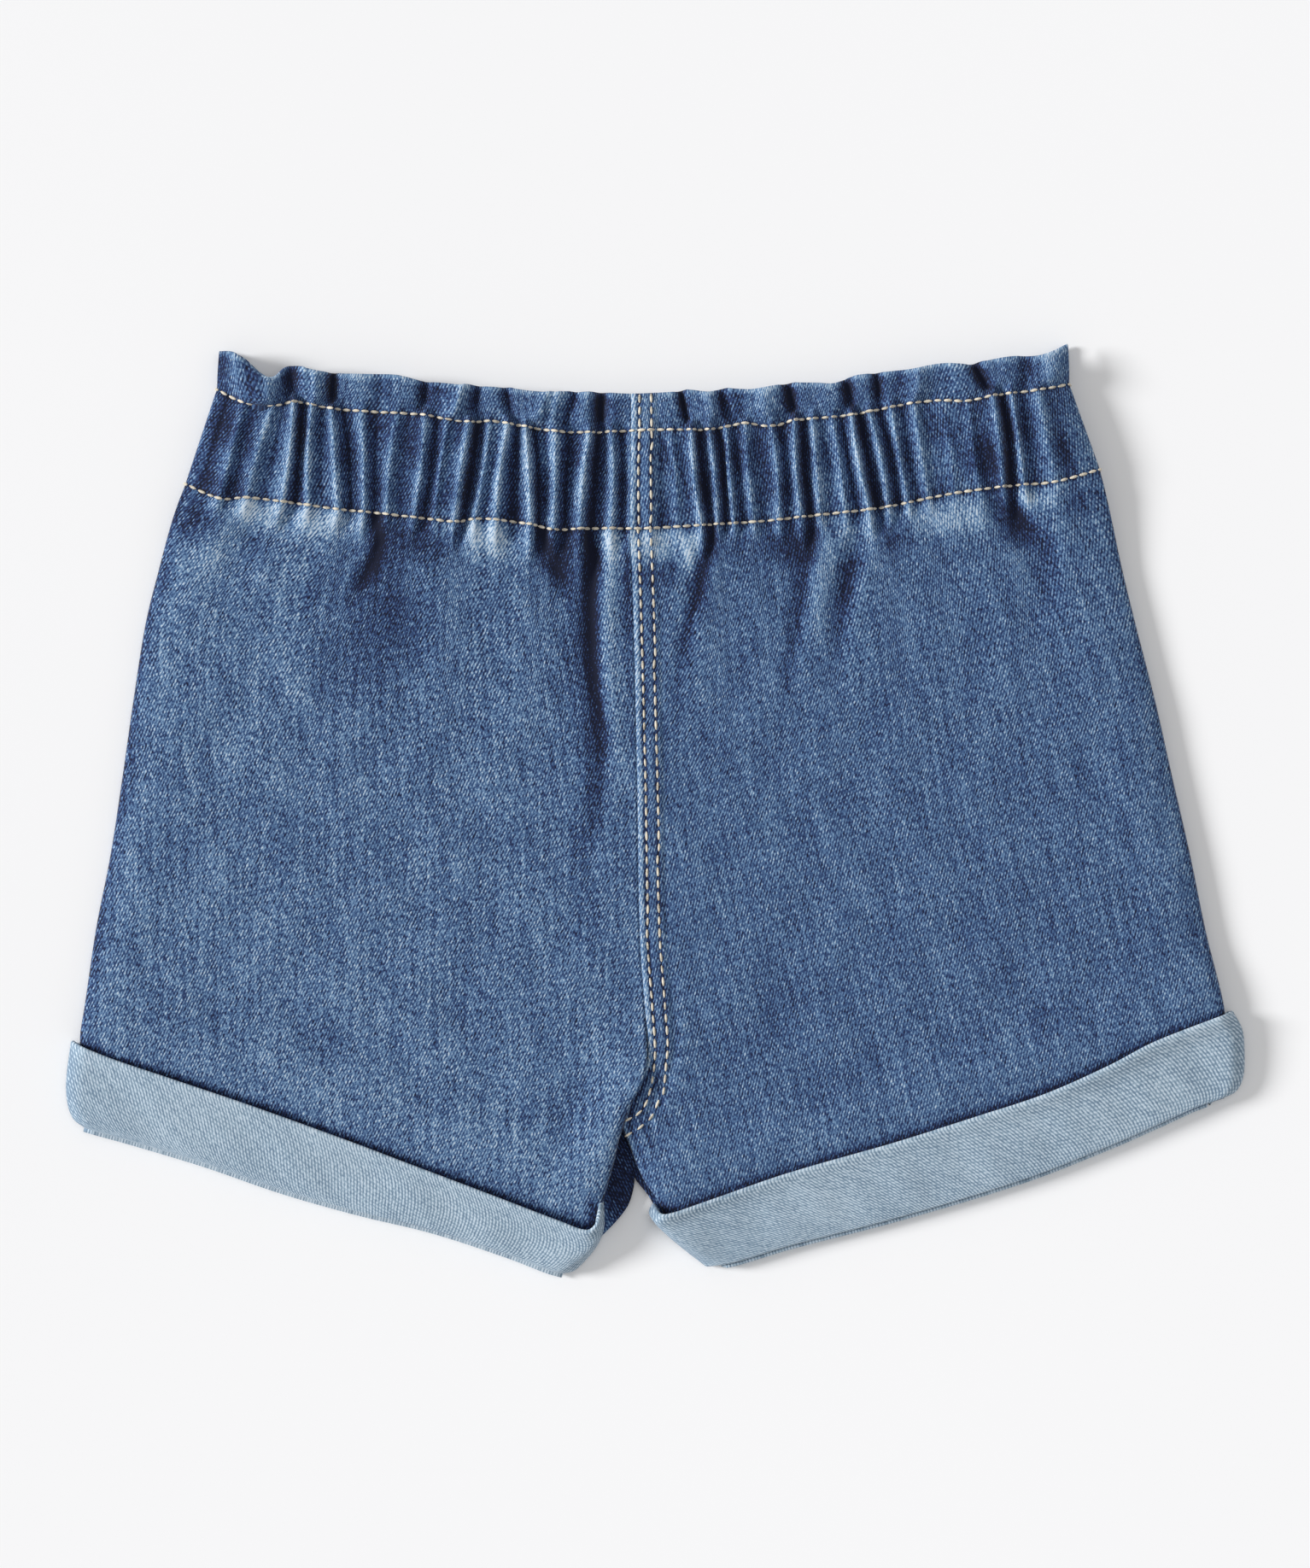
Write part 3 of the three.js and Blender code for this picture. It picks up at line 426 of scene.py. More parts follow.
def gathered(station, crest=2.2):
    """How high the gathers stand, from 0 to 1. A larger crest gives narrower ridges on a flat floor."""
    i = np.clip(np.floor(station).astype(int), 0, len(WAIST) - 2)
    f = station - i
    high, dip, notch = WAIST[i, HIGH], WAIST[i, DIP], WAIST[i, NOTCH]
    after = WAIST[i + 1, HIGH]
    fall = (0.5 + 0.5 * np.cos(np.pi * np.clip(f / notch, 0, 1))) ** crest
    climb = (0.5 - 0.5 * np.cos(np.pi * np.clip((f - notch) / (1 - notch), 0, 1))) ** (crest * 1.3)
    return np.where(f < notch, mix(dip, high, fall), mix(dip, after, climb))


def creased(station):
    """1 at the sharp crease beside a deep gather, falling to 0 within a millimetre."""
    i = np.clip(np.floor(station).astype(int), 0, len(WAIST) - 2)
    pitch = WAIST[i + 1, 0] - WAIST[i, 0]
    deep = np.clip(1 - WAIST[i, DIP] / 0.35, 0, 1)
    return deep * bell((station - i - WAIST[i, NOTCH]) * pitch, 0.55)


def run_of(station):
    """How far the gathers run on below the casing, in mm."""
    i = np.clip(np.floor(station).astype(int), 0, len(WAIST) - 2)
    return 0.6 * mix(WAIST[i, RUN], WAIST[i + 1, RUN], station - i)


def front_pleat(line):
    """Height of the gathers on the front, in mm."""
    return 1.6 * np.clip((gathered(line, 1.0) - 0.3) / 0.7, 0, 1)[None]


def stations(half, spacing):
    """Stations of one half from its side to the seat seam, at most spacing mm apart on the lower row."""
    low, high = sorted((half.first, half.last))
    parts = []
    for i in range(low, high):
        near_seam = half.lapped and i < SEAT_SEAM + 2
        step = min(spacing, 0.36) if near_seam else spacing
        count = max(4, math.ceil((WAIST[i + 1, 2] - WAIST[i, 2]) / step))
        parts.append(i + np.arange(count) / count)
    parts.append([high])
    line = np.concatenate(parts)
    return line if half.first < half.last else line[::-1]


def nearest_on(path, x, y):
    """Distance to a path, the share of the path passed there, and whether the place lies east of it."""
    nearest, share, east = np.full_like(x, 1e3), np.zeros_like(x), np.zeros_like(x, dtype=bool)
    for k, ((ax, ay), (bx, by)) in enumerate(zip(path, path[1:])):
        dx, dy = bx - ax, by - ay
        t = np.clip(((x - ax) * dx + (y - ay) * dy) / (dx * dx + dy * dy), 0, 1)
        gap = np.hypot(x - ax - t * dx, y - ay - t * dy)
        closer = gap < nearest
        nearest = np.where(closer, gap, nearest)
        share = np.where(closer, (k + t) / (len(path) - 1), share)
        east = np.where(closer, dx * (y - ay) - dy * (x - ax) > 0, east)
    return nearest, share, east


def fold_relief(x, y, folds):
    relief = np.zeros_like(x)
    for fold in folds:
        nearest, share, _ = nearest_on(fold.path, x, y)
        spread = 1 - np.clip(nearest / fold.reach, 0, 1) ** 2
        relief += fold.rise * (1 - 0.9 * smooth(share)) * spread**2
    return relief


def creases_of(x, y):
    """Relief of the sharp creases, and their painted shade with a faint painted highlight on the ridge beside
    them.
    """
    relief, wash = np.zeros_like(x), np.zeros_like(x)
    for crease in CREASES:
        nearest, share, east = nearest_on(crease.path, x, y)
        fade = 1 - smooth(share * 1.6 - 0.6)
        reach = np.where(east, crease.east, crease.west)
        hollow = np.exp(-((nearest / reach) ** 1.2))
        steep = np.where(reach == min(crease.east, crease.west), 1.0, 0.3)
        ridge = steep * bell(nearest - 3.2, 2.2)
        relief += crease.depth * fade * (0.8 * ridge - hollow)
        # Painted shade in the crease's hollow, a little painted light on the ridge beside it.
        wash += crease.tone * fade * (0.1 * ridge - hollow)
    return relief, wash


def frill_waves(x, r):
    """Relief and tone of the frill's waves at plan positions x of row r, 0 at the stitching; the tone paints
    shade in the valleys.
    """
    relief, tone = np.zeros_like(x), np.zeros_like(x)
    for wave in WAVES:
        away = x - mix(wave.foot, wave.tip, r)
        spread = np.where(away < 0, 0.6, 1.15) * wave.wide if wave.rise > 0 else wave.wide
        share = bell(away, spread)
        relief += wave.rise * share
        tone += wave.tone * share
    return relief, tone


def frill_height(x, relief, sizes):
    """Height of the frill's free part in mm."""
    from_side = np.minimum(x + 112, 106 - x)
    return 4.6 + 0.45 * sizes.frill_rise / MM * rounded(from_side / 13) + 0.7 * relief


def wash_and_shading_of(x, y, spots=PATCHES):
    """Wear and painted light and shade from the patches, below 0 for dark and above 0 for pale."""
    wash = np.zeros_like(x)
    for spot in spots:
        turn = math.radians(spot.lean)
        dx, dy = x - spot.x, y - spot.y
        across = (dx * math.cos(turn) + dy * math.sin(turn)) / spot.wide
        up = (-dx * math.sin(turn) + dy * math.cos(turn)) / spot.high
        wash += spot.tone * np.exp(-((across**2 + up**2) ** 1.3))
    return wash


def ripple(x, y):
    """A slight unevenness of the cloth, the same on every run."""
    return (
        np.sin(x * 0.31 + 1.7 * np.sin(y * 0.11 + 0.5))
        + np.sin(y * 0.27 - 1.3 * np.sin(x * 0.13 + 2.1))
        + 0.6 * np.sin(x * 0.62 + y * 0.41 + 1.1)
    ) / 2.6


def blurred(values, reach):
    """Values averaged over reach cells each way along both axes."""
    for axis in (0, 1):
        padded = np.pad(values, [(reach, reach) if a == axis else (0, 0) for a in (0, 1)], mode="edge")
        total = np.cumsum(padded, axis=axis)
        total = np.insert(total, 0, 0, axis=axis)
        size = 2 * reach + 1
        count = values.shape[axis]
        upper = np.take(total, range(size, size + count), axis=axis)
        lower = np.take(total, range(0, count), axis=axis)
        values = (upper - lower) / size
    return values


def cuff_length(half):
    (ax, ay), (bx, by) = half.cuff.bottom[0], half.cuff.bottom[-1]
    return math.hypot(bx - ax, by - ay)


def cuff_points(half, u, v):
    cuff = half.cuff
    return patch(along(cuff.top, u), along(cuff.bottom, u), along(cuff.outer, v), along(cuff.inner, v), u, v)


def panel_points(half, line, u, v, front=False):
    """Plan positions of a leg panel. The leg's sides run on inside the cuff to its hem."""
    inset = SIDE_INSET / cuff_length(half)
    hem = np.array([0, 1 - HEM_INSET / CUFF_DEPTH, 1])
    hem_line = cuff_points(half, mix(inset, 1 - inset, u), hem)[1]
    ends = cuff_points(half, np.array([inset, 1 - inset]), hem)[1]
    tuck = cuff_points(half, np.array([1 - 1.2 * inset, 1]), np.array([0, 0.35, 1]))[1, 0]
    outer = along([*half.outer, tuple(ends[0])], v)
    edge = [*SEAM_LINE, *FRONT_INNER_AS_SHADOW[half.name]] if front else half.inner
    inner = along([*edge, tuple(tuck), tuple(ends[1])], v)
    return patch(waist(line, "low"), hem_line, outer, inner, u, v)


def casing_heights(half, line, row, sizes):
    """Position and height of the casing's back, row 0 on the upper stitching and 1 on the lower."""
    top, low = waist(line, "top"), waist(line, "low")
    r = row[:, None]
    place = mix(top[None], low[None], r[..., None])
    sway = 0.55 * np.sin(line * 2.4 + 0.6) * np.sin(np.pi * r)
    edge = np.minimum(1, np.abs(line - half.first)) * np.minimum(1, np.abs(line - half.last))
    x, y = place[..., 0] + sway * edge, place[..., 1]
    start = mix(waist(np.array([half.first]), "top")[0, 0], waist(np.array([half.first]), "low")[0, 0], r)
    swell = rounded(np.abs(x - start) / 13)
    swing = np.sin(np.pi * r)
    share = gathered(line)[None] * mix(0.92, 1, np.sin(line * 5.1)[None] * np.cos(np.pi * r))
    pleat = sizes.pleat_rise / MM * mix(0.8, 1, swing) * share * swell
    crease = 1.1 * creased(line)[None] * mix(0.7, 1, swing) * swell
    row_dent = 0.45 * (bell(r * CASING_DEPTH, 0.9) + bell((1 - r) * CASING_DEPTH, 0.9))
    z = 4.8 + 1.6 * swell + pleat - crease + 0.6 * swing * swell - row_dent
    return x, y, z, swell


def seat_rows(across):
    """1 at the two rows of the seat seam, falling to 0 within a millimetre."""
    return sum(bell(across - row, 0.5) for row in SEAT_ROWS)


def lap_relief(across):
    """The felled seat seam: a raised strip held by two rows of stitching."""
    strip = smooth(across / 0.5) * (1 - smooth((across - 5.6) / 1.4))
    return 0.5 * strip - 0.28 * seat_rows(across)


def seam_wear_and_shading(across):
    """Wear and shading of the seat seam: a worn pale edge, painted shade in dark lines under the two rows and a
    paler lap end.
    """
    edge = 0.85 * (1 - smooth((across - 1.0) / 0.5)) + 0.25 * bell(across - 6.3, 0.6)
    return edge - 1.1 * seat_rows(across)


def panel_heights(half, sizes, spacing):
    """The back of one leg: positions, heights and wash with painted shade and light over its grid."""
    line = stations(half, spacing)
    top_rows = np.arange(0, 42, spacing)
    lower_rows = np.linspace(42, INNER_LENGTH, int(148 / (1.7 * spacing)))
    v = np.concatenate([top_rows, lower_rows]) / INNER_LENGTH
    lows = waist(line, "low")[:, 0]
    u = np.clip((lows - lows[0]) / (lows[-1] - lows[0]), 0, 1)
    place = panel_points(half, line, u, v)
    x, y = place[..., 0], place[..., 1]
    span = np.linalg.norm(place[:, 0] - place[:, -1], axis=-1)[:, None]
    uu, vv = u[None], v[:, None]
    from_inner = (1 - uu) * span
    length = mix(OUTER_LENGTH, INNER_LENGTH, uu)
    down, to_hem = vv * length, (1 - vv) * length
    hem_lift = 1.5 * smooth((42 - to_hem) / 22)
    leg = smooth((vv - half.crotch + 0.03) / 0.08)
    swell = rounded(uu * span / 13) * mix(1, rounded(from_inner / 13), leg)
    near_crotch = smooth(1 - np.abs(vv - half.crotch - 0.04) / 0.17) * smooth(1 - from_inner / 16)
    fold = fold_relief(x, y, FOLDS)
    sharp, crease_shading = creases_of(x, y)
    flat = smooth(to_hem / 36)
    body = 2.7 + hem_lift + sizes.dome / MM * swell + half.bulge * near_crotch
    body = body + (1.15 * fold + sharp + 0.22 * ripple(x, y)) * swell * flat
    if half.lapped:
        body = body + lap_relief(from_inner) * (1 - leg)
    body = mix(body, 3.1, smooth((34 - to_hem) / 32))
    _, _, casing, _ = casing_heights(half, line, np.array([0.0, 1.0]), sizes)
    low_row = casing[1][None]
    steady = blurred(np.repeat(low_row, 3, axis=0), 12)[1][None]
    fade = 1 - smooth(down / run_of(line)[None])
    z = body + (steady - body[:1]) * (1 - smooth(down / 26)) + (low_row - steady) * fade
    # Fold valleys darker and ridges paler, partly wear and partly painted shade and light; crease hollows get
    # painted shade.
    wash = wash_and_shading_of(x, y) + 0.5 * np.clip(fold, -1.2, 0.5) + crease_shading
    # Paler where the cloth stands above its surroundings and darker where it lies below them: partly wear,
    # partly painted light and shade.
    relief = (z - blurred(z, 7)) * np.where(vv < 0.3, 1.0, 0.6)
    wash = wash + np.clip(relief * 0.9, -0.8, 0.8)
    if half.lapped:
        wash = wash + seam_wear_and_shading(from_inner) * (1 - leg)
    # Painted shade on the left leg's outer edge, which faces the key light.
    if half is LEFT:
        wash = wash - 0.6 * bell(uu * span, 3.0)
    cuff_x, cuff_y = np.array(sorted(half.cuff.top)).T
    above_cuff = y - np.interp(x, cuff_x, cuff_y)
    # Painted shade in the groove under the casing's lower row, and a painted shadow on the leg just above the
    # cuff's top edge.
    wash = wash - 0.7 * bell(down, 0.9) - 1.5 * bell(above_cuff - 0.4, 1.5)
    # The right half darker than the left: partly its own wash, partly painted shade.
    wash = wash - (0.12 if half is LEFT else 0.27)
    cloth_x, cloth_y = panel_map(half, line, down, x, y, sizes)
    return u, v, np.stack([x, y, z], axis=-1), cloth_map(cloth_x, cloth_y, half.twill), wash


def waist_cloth(half, line, sizes):
    """Places along the flat cloth for stations of the gathered waist, in mm from the middle of the body."""
    x, _, z, _ = casing_heights(half, line, np.array([0.45, 0.55]), sizes)
    step = np.minimum(np.hypot(np.diff(x[0]), np.diff(z[0])), 1.35 * np.abs(np.diff(x[0])))
    sign = np.sign(x[0, -1] - x[0, 0])
    length = np.concatenate([[0], np.cumsum(step)])
    return (x[0, 0] + x[0, -1]) / 2 + sign * (length - length[-1] / 2)


def cloth_map(x, y, twill):
    """Cloth coordinates in mm, the first across the twill lines and the second along them."""
    turn = math.radians(twill)
    across = x * math.sin(turn) - y * math.cos(turn)
    lengthwise = x * math.cos(turn) + y * math.sin(turn)
    return np.stack([across, lengthwise], axis=-1)


def panel_map(half, line, down, x, y, sizes):
    """The cloth map of a leg: its plan, drawn out toward the gathered waist."""
    return mix(waist_cloth(half, line, sizes)[None], x, smooth(down / 80)), y


def normals_of(grid):
    normal = np.cross(np.gradient(grid, axis=1), np.gradient(grid, axis=0))
    return normal / np.maximum(np.linalg.norm(normal, axis=-1, keepdims=True), 1e-9)


def shell(name, grid, thick, cloth, wash, up=1):
    """A closed cloth shell under a grid of outer points in mm, with rounded first and last rows."""
    normal = normals_of(grid)
    normal = normal * np.sign(normal[..., 2:3] * up + 1e-9)
    inner = grid - normal * np.broadcast_to(thick, grid.shape[:2])[..., None]
    rims = []
    for last, before in ((-1, -2), (0, 1)):
        middle, half_way = (grid[last] + inner[last]) / 2, (grid[last] - inner[last]) / 2
        out = grid[last] - grid[before]
        out = out / np.maximum(np.linalg.norm(out, axis=-1, keepdims=True), 1e-9)
        size = np.linalg.norm(half_way, axis=-1, keepdims=True)
        rims.append([
            middle + half_way * math.cos(a) + out * size * math.sin(a) for a in np.radians([45, 90, 135])
        ])
    rows, columns = grid.shape[:2]
    loop = [*grid, *rims[0], *inner[::-1], *rims[1][::-1]]
    source = [*range(rows), *[rows - 1] * 3, *range(rows - 1, -1, -1), 0, 0, 0]
    points = np.stack(loop)
    count = len(loop)
    index = np.arange(count * columns).reshape(count, columns)
    after = np.roll(index, -1, axis=0)
    quads = np.stack([index[:, :-1], index[:, 1:], after[:, 1:], after[:, :-1]], axis=-1).reshape(-1, 4)
    faces = quads.tolist()
    for column, flip in ((0, False), (columns - 1, True)):
        for r in range(rows - 1):
            other = 2 * rows + 2 - r
            face = [index[r, column], index[r + 1, column], index[other - 1, column], index[other, column]]
            faces.append(face[::-1] if flip else face)
        for ring in (range(rows - 1, rows + 4), [*range(2 * rows + 2, count), 0]):
            face = [index[r, column] for r in ring]
            faces.append(face[::-1] if flip else face)
    corner = points.reshape(-1, 3)
    a, b, c = (corner[quads[:, k]] for k in range(3))
    if np.einsum("ij,ij->i", a, np.cross(b, c)).sum() < 0:
        faces = [face[::-1] for face in faces]
    mesh = bpy.data.meshes.new(name)
    mesh.from_pydata((corner * MM).tolist(), [], faces)
    mesh.validate()
    vertex_uv = np.stack([cloth[r] for r in source]).reshape(-1, 2)
    loops = np.empty(len(mesh.loops), dtype=int)
    mesh.loops.foreach_get("vertex_index", loops)
    layer = mesh.uv_layers.new(name="cloth")
    layer.uv.foreach_set("vector", vertex_uv[loops].ravel())
    marks = mesh.attributes.new("wash", "FLOAT", "POINT")
    marks.data.foreach_set("value", np.stack([wash[r] for r in source]).ravel())
    mesh.shade_smooth()
    piece = bpy.data.objects.new(name, mesh)
    bpy.context.scene.collection.objects.link(piece)
    return piece


def dress(piece, material, nodes):
    piece.data.materials.append(material)
    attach(piece, "root")
    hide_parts(*nodes)
    return piece


class Graph:
    """A short way to write a material's nodes."""

    def __init__(self, name):
        self.material = bpy.data.materials.new(name)
        self.material.use_nodes = True
        self.tree = self.material.node_tree
        self.tree.nodes.clear()

    def node(self, kind, inputs=(), **settings):
        node = self.tree.nodes.new(kind)
        for key, value in settings.items():
            setattr(node, key, value)
        for key, value in dict(inputs).items():
            if isinstance(value, bpy.types.NodeSocket):
                self.tree.links.new(value, node.inputs[key])
            else:
                node.inputs[key].default_value = value
        return node

    def math(self, operation, *values):
        return self.node("ShaderNodeMath", dict(enumerate(values)), operation=operation).outputs[0]

    def scaled(self, vector, scale):
        inputs = {"Vector": vector, "Scale": scale}
        return self.node("ShaderNodeMapping", inputs, vector_type="TEXTURE").outputs[0]

    def noise(self, vector, size, detail=2.0, rough=0.5):
        """Noise between 0 and 1 whose grains have the given size in the vector's units."""
        inputs = {"Vector": self.scaled(vector, size), "Scale": 1.0, "Detail": detail, "Roughness": rough}
        return self.node("ShaderNodeTexNoise", inputs).outputs["Fac"]

    def ramp(self, value, stops):
        node = self.node("ShaderNodeValToRGB", {"Fac": value})
        band = node.color_ramp
        while len(band.elements) < len(stops):
            band.elements.new(0.5)
        for element, (place, colour) in zip(band.elements, stops):
            element.position = place
            element.color = (*colour, 1)
        return node.outputs["Color"]


def linear(red, green, blue):
    """A colour given as it looks on screen, from 0 to 255."""
    def one(value):
        value /= 255
        return value / 12.92 if value < 0.04045 else ((value + 0.055) / 1.055) ** 2.4
    return (one(red), one(green), one(blue))


def denim(name, sizes, colours, reverse=False, contrast=1.0):
    """Washed denim twill. The cloth map is in mm, its first axis across the twill lines."""
    g = Graph(name)
    cloth = g.node("ShaderNodeUVMap", uv_map="cloth").outputs["UV"]
    wash = g.node("ShaderNodeAttribute", attribute_name="wash").outputs["Fac"]
    parts = g.node("ShaderNodeSeparateXYZ", {"Vector": cloth}).outputs
    across, lengthwise = parts["X"], parts["Y"]
    wander = g.noise(cloth, (2.2, 5.0, 1), 2.0)
    pitch_turn = 2 * math.pi / (sizes.twill_pitch / MM)
    turn = g.math("MULTIPLY_ADD", across, pitch_turn, g.math("MULTIPLY", wander, 2.6))
    lines = g.math("MULTIPLY_ADD", g.math("SINE", turn), 0.5, 0.5)
    half_turn = g.math("MULTIPLY", turn, 0.5)
    float_turn = g.math("MULTIPLY_ADD", lengthwise, 2 * math.pi / FLOAT_LENGTH, half_turn)
    floats = g.math("MULTIPLY_ADD", g.math("SINE", float_turn), 0.28, 0.72)
    twill = g.math("MULTIPLY", lines, floats)
    fleck = g.noise(cloth, (0.45, 1.1, 1), 2.0, 0.65)
    grain = g.noise(cloth, (1.1, 2.4, 1), 3.0, 0.6)
    warp = g.node("ShaderNodeMapping", {"Vector": cloth, "Rotation": (0, 0, math.radians(-26))}).outputs[0]
    slub = g.noise(warp, (1.3, 22.0, 1), 2.0, 0.55)
    mottle = g.noise(cloth, (9.0, 12.0, 1), 4.0, 0.62)
    tone = g.math("MULTIPLY_ADD", g.math("SUBTRACT", twill, 0.36), 0.95 if reverse else 0.5, 0.5)
    for value, weight in ((fleck, 1.7), (grain, 0.6), (slub, 0.5), (mottle, 0.25)):
        tone = g.math("MULTIPLY_ADD", g.math("SUBTRACT", value, 0.5), weight * contrast, tone)
    # The wash and shading attribute holds the cloth's wear together with painted shade and light: darker folds,
    # creases, stitching grooves and shadows, and some painted highlights.
    tone = g.math("MULTIPLY_ADD", wash, 0.3, tone)
    if reverse:
        stops = (
            (0.1, colours.reverse_deep), (0.5, colours.reverse), (0.9, colours.reverse_pale),
        )
    else:
        stops = (
            # The near-black stop paints shadow; deep indigo is unworn cloth and also the painted shade of
            # creases and the frill's gaps.
            (0.0, tuple(0.25 * c for c in colours.deep)), (0.14, colours.deep), (0.36, colours.dark),
            (0.54, colours.mid), (0.8, colours.pale), (1.0, colours.worn),
        )
    tone = g.math("MULTIPLY_ADD", tone, 0.8, 0.15)
    colour = g.ramp(tone, [(0.8 * place + 0.15, tuple(c)) for place, c in stops])
    height = g.math("MULTIPLY_ADD", fleck, 0.7, g.math("MULTIPLY", twill, 0.6))
    bump = g.node("ShaderNodeBump", {"Height": height, "Strength": 0.3, "Distance": 0.00015}).outputs[0]
    inputs = {
        "Base Color": colour, "Roughness": 0.88, "Specular IOR Level": 0.25, "Sheen Weight": 0.12,
        "Sheen Roughness": 0.5, "Normal": bump,
    }
    shader = g.node("ShaderNodeBsdfPrincipled", inputs)
    g.node("ShaderNodeOutputMaterial", {"Surface": shader.outputs[0]})
    return g.material


def material_named(name, make):
    found = bpy.data.materials.get(name)
    return found if found else make()


def length_property(name, description, default):
    return bpy.props.FloatProperty(
        name=name, description=description, default=default, unit="LENGTH", precision=5)


class ShortsSizes(bpy.types.PropertyGroup):
    """Sizes of the shorts that a user may change."""

    cloth: length_property("Cloth", "Thickness of one layer of denim", 0.0009)
    dome: length_property("Air", "How far the back stands off the front", 0.0025)
    pleat_rise: length_property("Gathers", "Height of the tallest gather in the casing", 0.0034)
    frill_rise: length_property("Frill", "Height of the frill's waves", 0.0052)
    twill_pitch: length_property("Twill", "Distance between two twill lines", 0.0007)
    stitch_pitch: length_property("Stitch pitch", "From one topstitch to the next", 0.0026)
    stitch_length: length_property("Stitch length", "Thread showing in one stitch", 0.0021)
    thread: length_property("Thread", "Thickness of the topstitching thread", 0.0008)


def colour_property(name, description, shade):
    return bpy.props.FloatVectorProperty(
        name=name, description=description, default=linear(*shade), subtype="COLOR", size=3, min=0, max=1)


class ShortsColours(bpy.types.PropertyGroup):
    """Colours of the denim, its reverse, the thread and the floor."""

    # Deep indigo also serves as the painted shade in creases and in the frill's gaps.
    deep: colour_property("Deep indigo", "Unworn indigo at the bottom of a fold", (30, 42, 84))
    dark: colour_property("Dark indigo", "Dark yarns of the washed face", (46, 73, 114))
    mid: colour_property("Washed blue", "Middle shade of the washed face", (80, 111, 150))
    pale: colour_property("Pale blue", "Pale yarns and worn ridges", (127, 157, 186))
    worn: colour_property("Worn white", "Most worn edges", (186, 200, 214))
    reverse_deep: colour_property("Reverse, dark", "Dark yarns of the cloth's reverse", (108, 130, 152))
    reverse: colour_property("Reverse", "Middle shade of the cloth's reverse", (147, 169, 186))
    reverse_pale: colour_property("Reverse, pale", "Pale yarns of the cloth's reverse", (194, 209, 222))
    thread: colour_property("Thread", "Golden beige topstitching", (209, 200, 182))
    floor: colour_property("Floor", "Pale surface under the shorts", (246, 246, 247))


def settings():
    scene = bpy.context.scene
    return scene.shorts_sizes, scene.shorts_colours


class SHORTS_OT_leg_backs(bpy.types.Operator):
    """Make the back of each leg, with its folds, wash and painted shade, and the felled seat seam"""

    bl_idname = "shorts.leg_backs"
    bl_label = "Leg backs"

    def execute(self, context):
        sizes, colours = settings()
        cloth = sizes.cloth / MM
        face = material_named("washed_denim", lambda: denim("washed_denim", sizes, colours))
        coarse = material_named(
            "washed_denim_coarse", lambda: denim("washed_denim_coarse", sizes, colours, contrast=1.15))
        for half in HALVES:
            _, _, grid, chart, wash = panel_heights(half, sizes, 0.7)
            piece = shell(f"leg_back_{half.name}", grid, cloth, chart, wash)
            cloth_face = coarse if half is LEFT else face
            dress(piece, cloth_face, [f"back_panel_{half.name}"])
        return {"FINISHED"}


class SHORTS_OT_leg_fronts(bpy.types.Operator):
    """Make the front of each leg, which lies flat on the surface"""

    bl_idname = "shorts.leg_fronts"
    bl_label = "Leg fronts"

    def execute(self, context):
        sizes, colours = settings()
        cloth = sizes.cloth / MM
        face = material_named("washed_denim", lambda: denim("washed_denim", sizes, colours))
        for half in HALVES:
            line = stations(half, 1.2)
            v = np.concatenate([np.linspace(0, 0.12, 22), np.linspace(0.13, 1, 110)])
            lows = waist(line, "low")[:, 0]
            u = np.clip((lows - lows[0]) / (lows[-1] - lows[0]), 0, 1)
            place = panel_points(half, line, u, v, front=True)
            x, y = place[..., 0], place[..., 1]
            length = mix(OUTER_LENGTH, INNER_LENGTH, u[None])
            down, to_hem = v[:, None] * length, (1 - v[:, None]) * length
            pleat = front_pleat(line)
            z = 0.2 + 1.0 * smooth((42 - to_hem) / 22) + pleat * (1 - smooth(down / 16))
            grid = np.stack([x, y, z], axis=-1)
            wash = wash_and_shading_of(-x, y) * 0.7 + np.clip((blurred(z, 4) - z) * 1.2, -0.6, 0.6)
            # Painted shadow: a dark oval on the front's crotch, in the gap between the legs.
            wash = wash - 1.7 * np.exp(-(((x + 7.5) / 9) ** 2 + ((y + 90) / 16) ** 2) ** 2)
            chart = cloth_map(*panel_map(half, line, down, x, y, sizes), 180 - half.twill)
            piece = shell(f"leg_front_{half.name}", grid, cloth, chart, wash, up=-1)
            dress(piece, face, [f"front_panel_{half.name}"])
        return {"FINISHED"}


